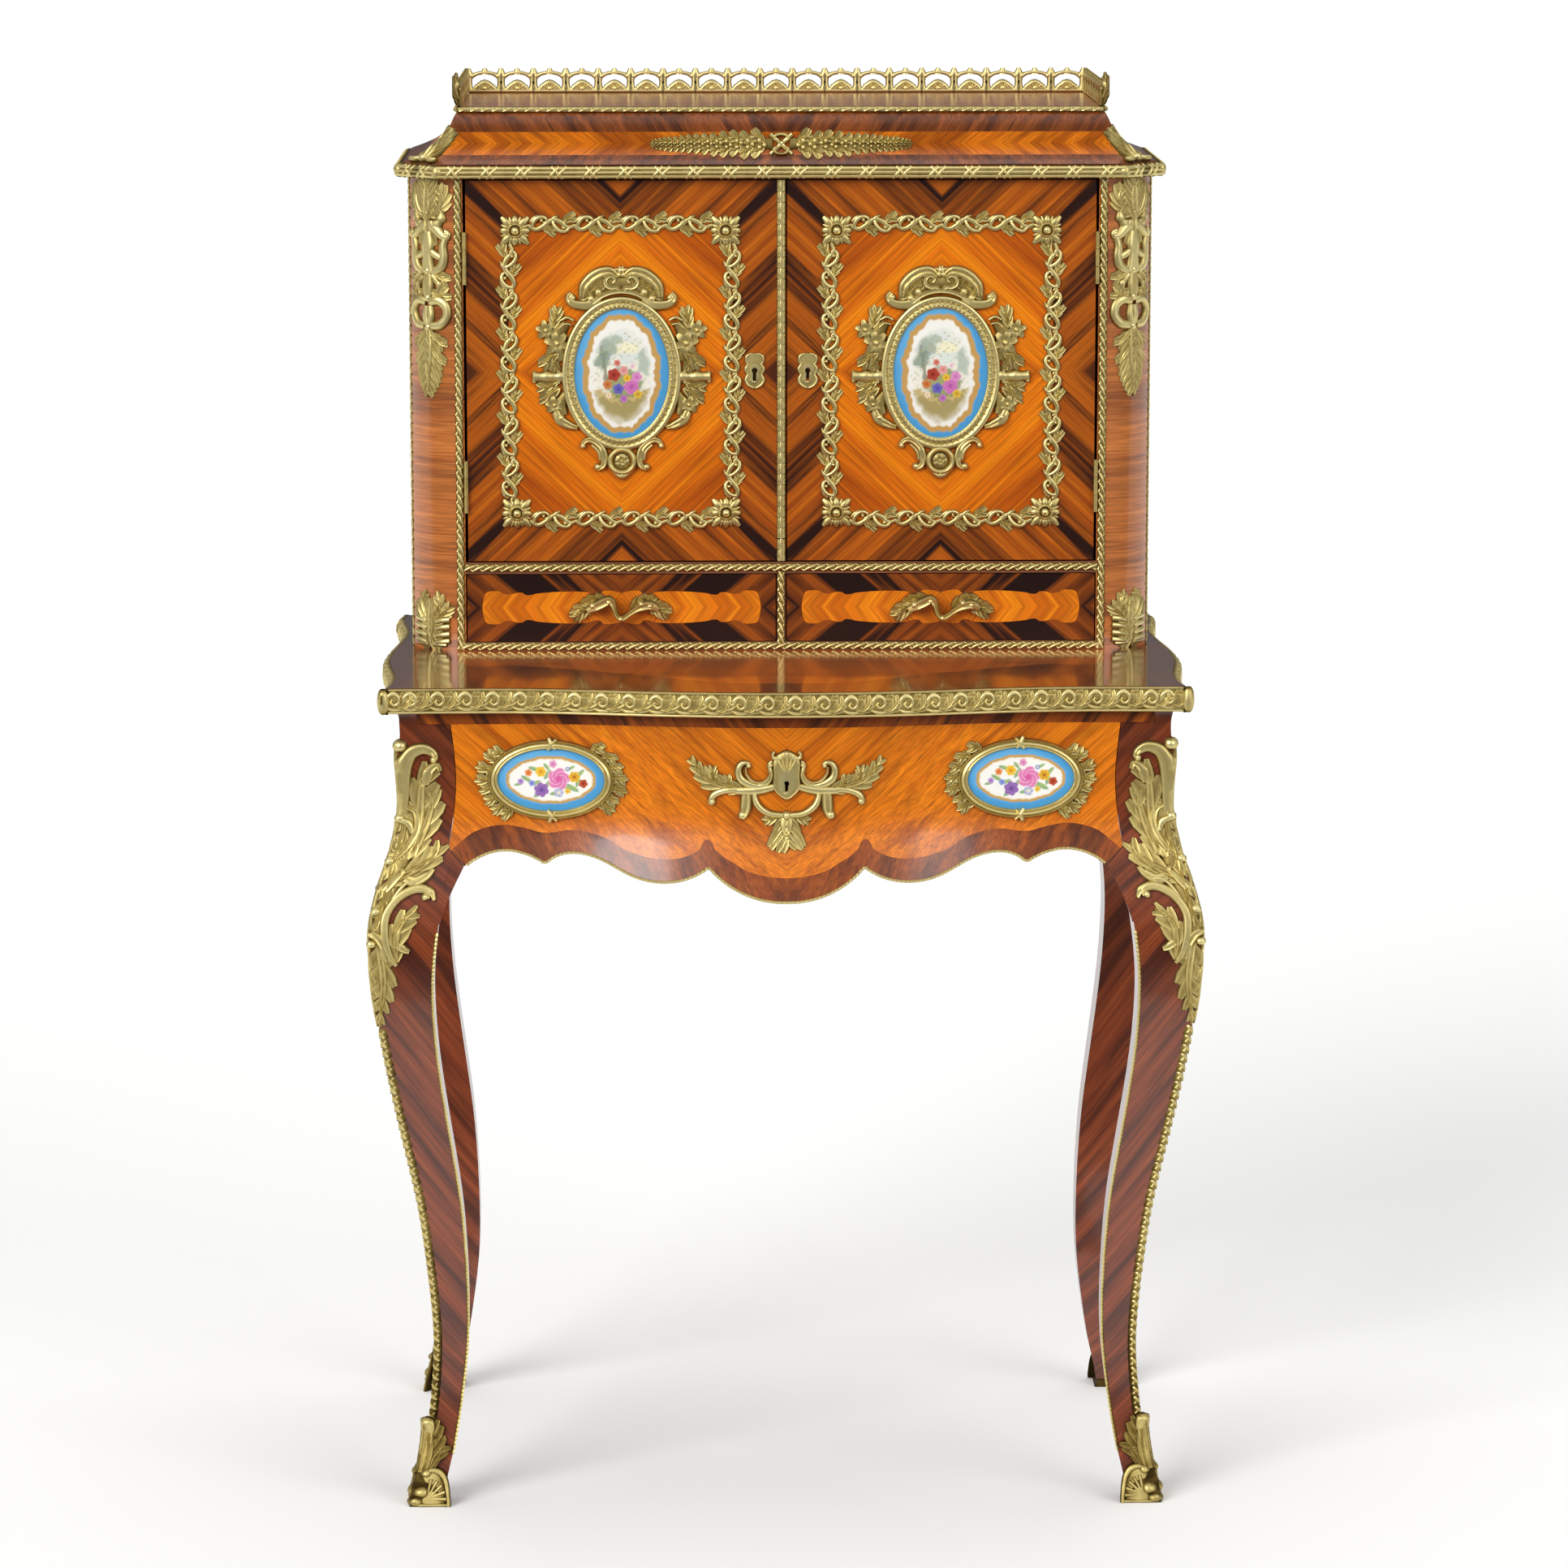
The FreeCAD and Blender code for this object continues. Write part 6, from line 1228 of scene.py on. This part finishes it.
head_mount = head_half + flipped(head_half)
head_mount += acanthus([(0, 1158), (0, 1170), (0, 1184), (0, 1195)], [14, 24, 21, 8], 4.2, 5)
head_mount += acanthus([(0, 1159), (0, 1152), (0, 1143)], [16, 19, 8], 4, 2)
head_mount += [ball(0, z, 4.6, 4.3) for z in (1112, 1087, 1060)]
head_mount += [bar([(0, 1112), (0, 1098), (0, 1084)], [10, 14, 10], [3.4, 4.2, 3.4], 0.3)]
head_mount += acanthus([(0, 1060), (0, 1042), (0, 1022), (0, 1009), (0, 998)], [16, 27, 24, 15, 6], 4.2, 7)
foot_half = [
    *acanthus([(3, 788), (9, 799), (10, 807), (6, 812)], [9, 12, 10, 4], 3.6, 3),
    *acanthus([(4, 784), (13, 794), (19, 801)], [10, 13, 6], 3.8, 3),
    *[bar([(5, z - 2), (12, z), (19, z + 1)], [5, 6.2, 6.4], [3.2, 4.2, 3.6])
      for z in (768, 774.5, 781.5, 788)],
    bar([(3, 764.5), (9, 765), (16, 765)], [4, 4.6, 4], [3, 3.4, 3]),
]
foot_mount = foot_half + flipped(foot_half)
foot_mount += acanthus([(0, 808), (0, 796), (0, 780), (0, 765)], [10, 20, 22, 10], 4.4, 5)
cast("left_post_mounts", head_mount + foot_mount, lambda verts: on_post(-1, verts), "desk")
cast("right_post_mounts", head_mount + foot_mount, lambda verts: on_post(1, verts), "desk",
     "corner_post_mounts")


# The locks: plain steel cases let into the wood of the right door and of the frieze
# drawer, sawn and filed, with cut bolts. The steel is grey and dull, with file marks
# that run fore and aft.
steel, tree, shader = new_finish("filed_lock_steel", {"Metallic": 1.0})
spot = add(tree, "ShaderNodeTexCoord").outputs["Object"]
marks = add(tree, "ShaderNodeMapping", {0: spot, 3: (900.0, 60.0, 60.0)})
filed = add(tree, "ShaderNodeTexNoise", {"Vector": marks, "Scale": 1.0, "Detail": 3.0})
tint = add(tree, "ShaderNodeValToRGB", {0: filed}, stops=[(0.3, "#6E6C68"), (0.7, "#A5A39E")])
rough = add(tree, "ShaderNodeMapRange", {0: filed, 3: 0.5, 4: 0.36})
feed(tree, shader, {"Base Color": tint, "Roughness": rough})
dress(steel, "door_lock_case", "door_lock_bolt", "frieze_lock_case", "frieze_lock_bolt")


# The cornice board, the coved hood and its tray: shaped pine under kingwood, with a
# band of tulipwood round the cove meeting in a V over the middle.
finish, tree, folded = polished_wood("kingwood_cornice", (0, 0, -1000))
veneered(tree, lay(tree, folded, FRONT_FACE, 60, kingwood, 0.8, 1.4))
dress(finish, "cornice_board")

finish, tree, folded = polished_wood("banded_hood", (0, 120, 1229))
place = add(tree, "ShaderNodeSeparateXYZ", {0: folded})
band_half_height = 0.0105
band = add(tree, "ShaderNodeMath", {0: place.outputs[2], 1: band_half_height}, operation="LESS_THAN")
veneered(tree, lay(tree, folded, FRONT_FACE, 60, ("#98501F", "#6E3410", "#34160A"), 0.7, 2.8),
         (band, lay(tree, folded, FRONT_FACE, 38, tulipwood, 0.7, 0.6)))
dress(finish, "hood")

finish, tree, folded = polished_wood("tulipwood_tray", (0, 0, -1000), 0.3, 0.7, 0.2)
veneered(tree, lay(tree, folded, TOP_FACE, 2, ("#B05A20", "#924412", "#66300F"), 0.5, 3.3))
dress(finish, "hood_top")


# The mouldings of the cornice and of the tray: drawn brass with a bound bundle of reeds
# on the one and running leaves on the other.
def round_path(corners, height):
    """Runs between corners (x, y) of a level outline, each with the way it faces"""
    return [([(x0, y0, height), (x1, y1, height)], (y1 - y0, x0 - x1, 0))
            for (x0, y0), (x1, y1) in zip(corners, corners[1:])]


reeds = [bar([(-16, v), (16, v)], [3.6, 3.6], [1.9, 1.9], floor=-1, sides=7) for v in (-3.9, 0, 3.9)]
binding = [bar([(u - 5, -5.6), (u, 0), (u + 5, 5.6)], [3.4, 4.2, 3.4], [2.0, 2.9, 2.0], floor=-1, sides=6)
           for u in (-3.4, 3.4)]
binding += [bar([(5, -5.6), (0, 0), (-5, 5.6)], [3, 3.6, 3], [2.0, 2.7, 2.0], floor=-1, sides=6),
            ball(0, 0, 2.2, 3.3, -1, 8)]
cornice_unit = [ground(bar([(-16, 0), (16, 0)], [12.6, 12.6], [4.6, 4.6], floor=-1, sides=11))]
cornice_unit += on_round(reeds + binding, 6.3, 4.0)
outline = [(-356, 250), (-356, 36), (-317, -2), (317, -2), (356, 36), (356, 250)]
inner = [(x - math.copysign(6, x) if abs(x) > 320 else x * 0.993, y + (6 if y < 0 else 3 if y < 100 else 0))
         for x, y in outline]
cornice_height, tray_height = 1203.1, 1259.5
moulding = casting_run("cornice_reeding", round_path(inner, cornice_height), cornice_unit, 30)
fit(flush(moulding), "desk", "gilt_brass", "cornice_moulding")
fit(rounded_corners("cornice_corners", inner[1:-1], cornice_height, 6.3, 5, 0.8), "desk", "gilt_brass")

tray_unit = [
    bar([(-5.4, 0), (5.4, 0)], [5.2, 5.2], [4.4, 4.4], floor=-1, sides=9),
    *on_round([bar([(-4.4, -1.6), (0, 0), (4.4, 1.6)], [1.8, 2.8, 1.8], [0.8, 1.4, 0.8], floor=-1, sides=5),
               bar([(-3.2, 1.6), (-0.6, 1.2)], [1.8, 1.0], [1.2, 0.8], floor=-1, sides=5)], 2.6, 4.2)]
tray_path = round_path([(-295, 248.5), (-295, 18), (295, 18), (295, 248.5)], tray_height)
fit(casting_run("tray_moulding_leaves", tray_path, tray_unit, 10), "desk", "gilt_brass", "hood_top_moulding")


# The hood mounts: over the doors a long garland of laurel in fruit that tapers from a
# knot of crossed ribbon, and on each canted corner a single broad leaf.
hood_skin = skin_of("hood")


def garland_side():
    """Half of the garland, leaf by leaf from its tip to the knot"""
    parts, x = [], 117.0
    while x > 12:
        size = 0.14 + 0.86 * (1 - x / 121.5) ** 0.6
        for way in (1, -1):
            tip = way * (0.6 + 8.4 * size + 1.4 * math.sin(x * 0.9 + way) * size)
            parts += acanthus([(x - 6 * size, way * 0.8), (x - size, tip * 0.6), (x + 7 * size, tip)],
                              [6 * size, 12.5 * size, 3.6 * size], 2.4 + 1.8 * size, 2, 44, tip=0.7)
            parts.append(ball(x - size, way * 3.4 * size, 3.6 * size, 4.6 + 1.2 * size, sides=8))
        parts.append(ball(x - 6 * size, 1.2 * size * math.sin(x * 1.7), 3.4 * size, 4.8 + 1.2 * size,
                          sides=8))
        x -= 12.4 * size
    return parts + [ground(bar([(8, 0), (60, 0.6), (121, 0)], [12, 8, 1.2], [1.4, 1.2, 1.2]))]


knot = [pierced(oval_loop(9, 5), oval_loop(4.4, 1.8), [(0.15, 3), (0.5, 4), (0.85, 3)], 24)]
knot = moved(knot, 0, 5.6) + moved(knot, 0, -5.4)
knot += [bar([(x, -9), (0, 0), (-x, 9)], [4, 5, 4], [3, 4, 3]) for x in (-10, 10)]
garland = garland_side()
cast("hood_garland", moved(garland + flipped(garland) + knot, 0, 1228.5),
     lambda verts: pressed_on(hood_skin, verts), "desk", "hood_mounts")


def on_canted_corner(side, verts):
    """Lays flat castings on a canted corner of the hood, which leans back as it rises"""
    placed = np.array(verts, float)
    for i, (u, v, h) in enumerate(verts):
        z = 1.2245 + v * 0.00064
        x, y = 0.3365 + u * 0.000707 - (z - 1.21) * 0.43, 0.017 + u * 0.000707 - (z - 1.21) * 0.43
        hit = hood_skin.ray_cast(Vector((x + 0.1, y - 0.1, z)), Vector((-0.7071, 0.7071, 0)))[0]
        if hit is None:
            hit = hood_skin.find_nearest(Vector((x, y, z)))[0]
        spot = hit + Vector((0.5, -0.5, 0.7071)) * (h / 1000)
        placed[i] = (side * spot.x * 1000, spot.y * 1000, spot.z * 1000)
    return placed


leaf_mount = acanthus([(0, -21), (0, -10), (0, 4), (0, 16), (1, 25)], [18, 29, 28, 20, 9], 5.4, 4, 40)
leaf_mount += [ball(0, -18, 4.6, 6.5)]
leaf_mount += [bar([(side * 5, -17), (side * 12, -20), (side * 17, -18)], [6, 8, 5], [4.4, 5.4, 4.4])
               for side in (-1, 1)]
cast("left_hood_leaf", leaf_mount, lambda verts: on_canted_corner(-1, verts), "desk")
cast("right_hood_leaf", leaf_mount, lambda verts: on_canted_corner(1, verts), "desk")


# The gallery: a fence of cast brass soldered behind the tray's edge on three sides, low
# shells under crescent openings between trefoil piers, with flared leaves at its ends.
def two_faced(pieces):
    """Castings finished on the back as on the front"""
    return pieces + [(v * (1, 1, -1), [f[::-1] for f in faces], s) for v, faces, s in pieces]


bay = [
    bar([(-16, 2), (16, 2)], [4, 4], [2.2, 2.2], floor=0, sides=6),
    *[bar([(u, 1), (u, 9), (u, 14), (u, 19)], [13, 7, 7, 11], [2.0, 2.2, 2.2, 2.0], floor=0, sides=6)
      for u in (-15.5, 15.5)],
    *[ball(u + a, b, 2.6, 2.5, 0, 8) for u in (-15.5, 15.5) for a, b in ((0, 19), (-3, 16), (3, 16))],
    *[bar([(u, 17.5), (u, 23.3)], [9, 3.4], [2.3, 2.0], floor=0, sides=5) for u in (-15.5, 0, 15.5)],
    bar([(-13, 15), (-8, 18), (0, 19.2), (8, 18), (13, 15)], [4.4, 3.4, 3.8, 3.4, 4.4],
        [2, 2.2, 2.3, 2.2, 2], floor=0, sides=6),
    bar([(-10.5, 2.4), (-6, 6.6), (0, 9.8), (6, 6.6), (10.5, 2.4)], [4, 5.6, 6, 5.6, 4],
        [2, 2.3, 2.4, 2.3, 2], floor=0, sides=6),
    *[bar([(0, 3), (u, 9.4 - abs(u) * 0.4)], [2, 2.8], [2.4, 2.8], floor=0, sides=5)
      for u in (-6, -3, 0, 3, 6)],
    ball(0, 4.4, 3, 3.0, 0, 8), bar([(-10, 4), (10, 4)], [7, 7], [2.0, 2.0], floor=0, sides=6)]
base, side_x, fore_y, back_y = 1262, 294.8, 22, 244.8
lines = [([(-293, back_y, base), (293, back_y, base)], front),
         ([(-side_x, 243.4, base), (-side_x, fore_y, base)], (-1, 0, 0)),
         ([(side_x, fore_y, base), (side_x, 243.4, base)], (1, 0, 0))]
fit(casting_run("gallery_fence", lines, two_faced(bay), 30.8), "desk", "gilt_brass", "gallery")
end_leaf = acanthus([(0, 1), (1, 8), (6, 15), (7, 21), (3, 25)], [9, 13, 16, 13, 6], 2.6, 3, 40)
end_leaf += [bar([(-8, 2), (-4, 10), (0, 16)], [8, 8, 4], [2, 2.4, 2], floor=0), ball(4, 20, 4, 3.2, 0, 8)]
flare, leaf_height = math.radians(21), 31.3


def at_fence_end(side, verts):
    """Stands flat castings at the fence's front end, flared away from the tray"""
    u, v, h = verts.T
    out = u * math.sin(flare) + h * math.cos(flare)
    y = fore_y - u * math.cos(flare) + h * math.sin(flare)
    return np.column_stack([side * (295.5 + np.clip(out, -6, 5)), y, base + np.clip(v, 0, leaf_height)])


cast("left_gallery_leaf", two_faced(end_leaf), lambda verts: at_fence_end(-1, verts), "desk")
cast("right_gallery_leaf", two_faced(end_leaf), lambda verts: at_fence_end(1, verts), "desk")


# The studio: a wide white floor that is also the ground behind the desk, two broad
# soft lights in front of it and one above, and a dim room for the polish to reflect.
floor_mesh = bpy.data.meshes.new("floor")
floor_mesh.from_pydata([(-60, -1.3, 0), (60, -1.3, 0), (60, 90, 0), (-60, 90, 0)], [], [(0, 1, 2, 3)])
floor = linked("floor", floor_mesh)
paint = new_finish("white_painted_floor", {"Base Color": linear("#FCFCFB"), "Roughness": 0.9})[0]
floor_mesh.materials.append(paint)

room = bpy.data.worlds.new("studio_room")
room.use_nodes = True
tree = room.node_tree
tree.nodes.clear()
seen = add(tree, "ShaderNodeLightPath")
white = add(tree, "ShaderNodeMath",
            {0: seen.outputs["Is Camera Ray"], 1: seen.outputs["Is Transmission Ray"]}, operation="MAXIMUM")
way = add(tree, "ShaderNodeSeparateXYZ", {0: add(tree, "ShaderNodeTexCoord").outputs["Generated"]})
light = add(tree, "ShaderNodeMapRange", {0: way.outputs[2], 1: 0.05, 2: 0.7, 3: 0.06, 4: 0.6})
level = add(tree, "ShaderNodeMix", {0: white, 2: light, 3: 1.0})
sky = add(tree, "ShaderNodeBackground", {"Color": (1, 1, 1, 1), "Strength": level})
add(tree, "ShaderNodeOutputWorld", {0: sky})
bpy.context.scene.world = room

# Each light's way, spread in degrees and strength.
for name, away, spread, power in (
        ("soft_light_left", (-2.6, -3.4, 2.0), 34, 2.2),
        ("soft_light_right", (2.9, -3.0, 1.5), 40, 1.1),
        ("soft_light_over", (0.2, 0.6, 3.6), 50, 0.52)):
    lamp = bpy.data.lights.new(name, "SUN")
    lamp.angle = math.radians(spread)
    lamp.energy = power
    linked(name, lamp).rotation_euler = Vector(away).to_track_quat("Z", "Y").to_euler()

# The camera stands where the photograph's straight edges say that it stood.
lens = bpy.data.cameras.new("camera")
lens.lens = 134.87
lens.sensor_width = 36.0
camera = linked("camera", lens)
camera.location = (-0.1086, -5.388, 1.578)
camera.rotation_euler = (math.pi / 2 - 0.1732, 0.0, -0.0206)
bpy.context.scene.camera = camera
bpy.context.scene.view_settings.view_transform = "Standard"
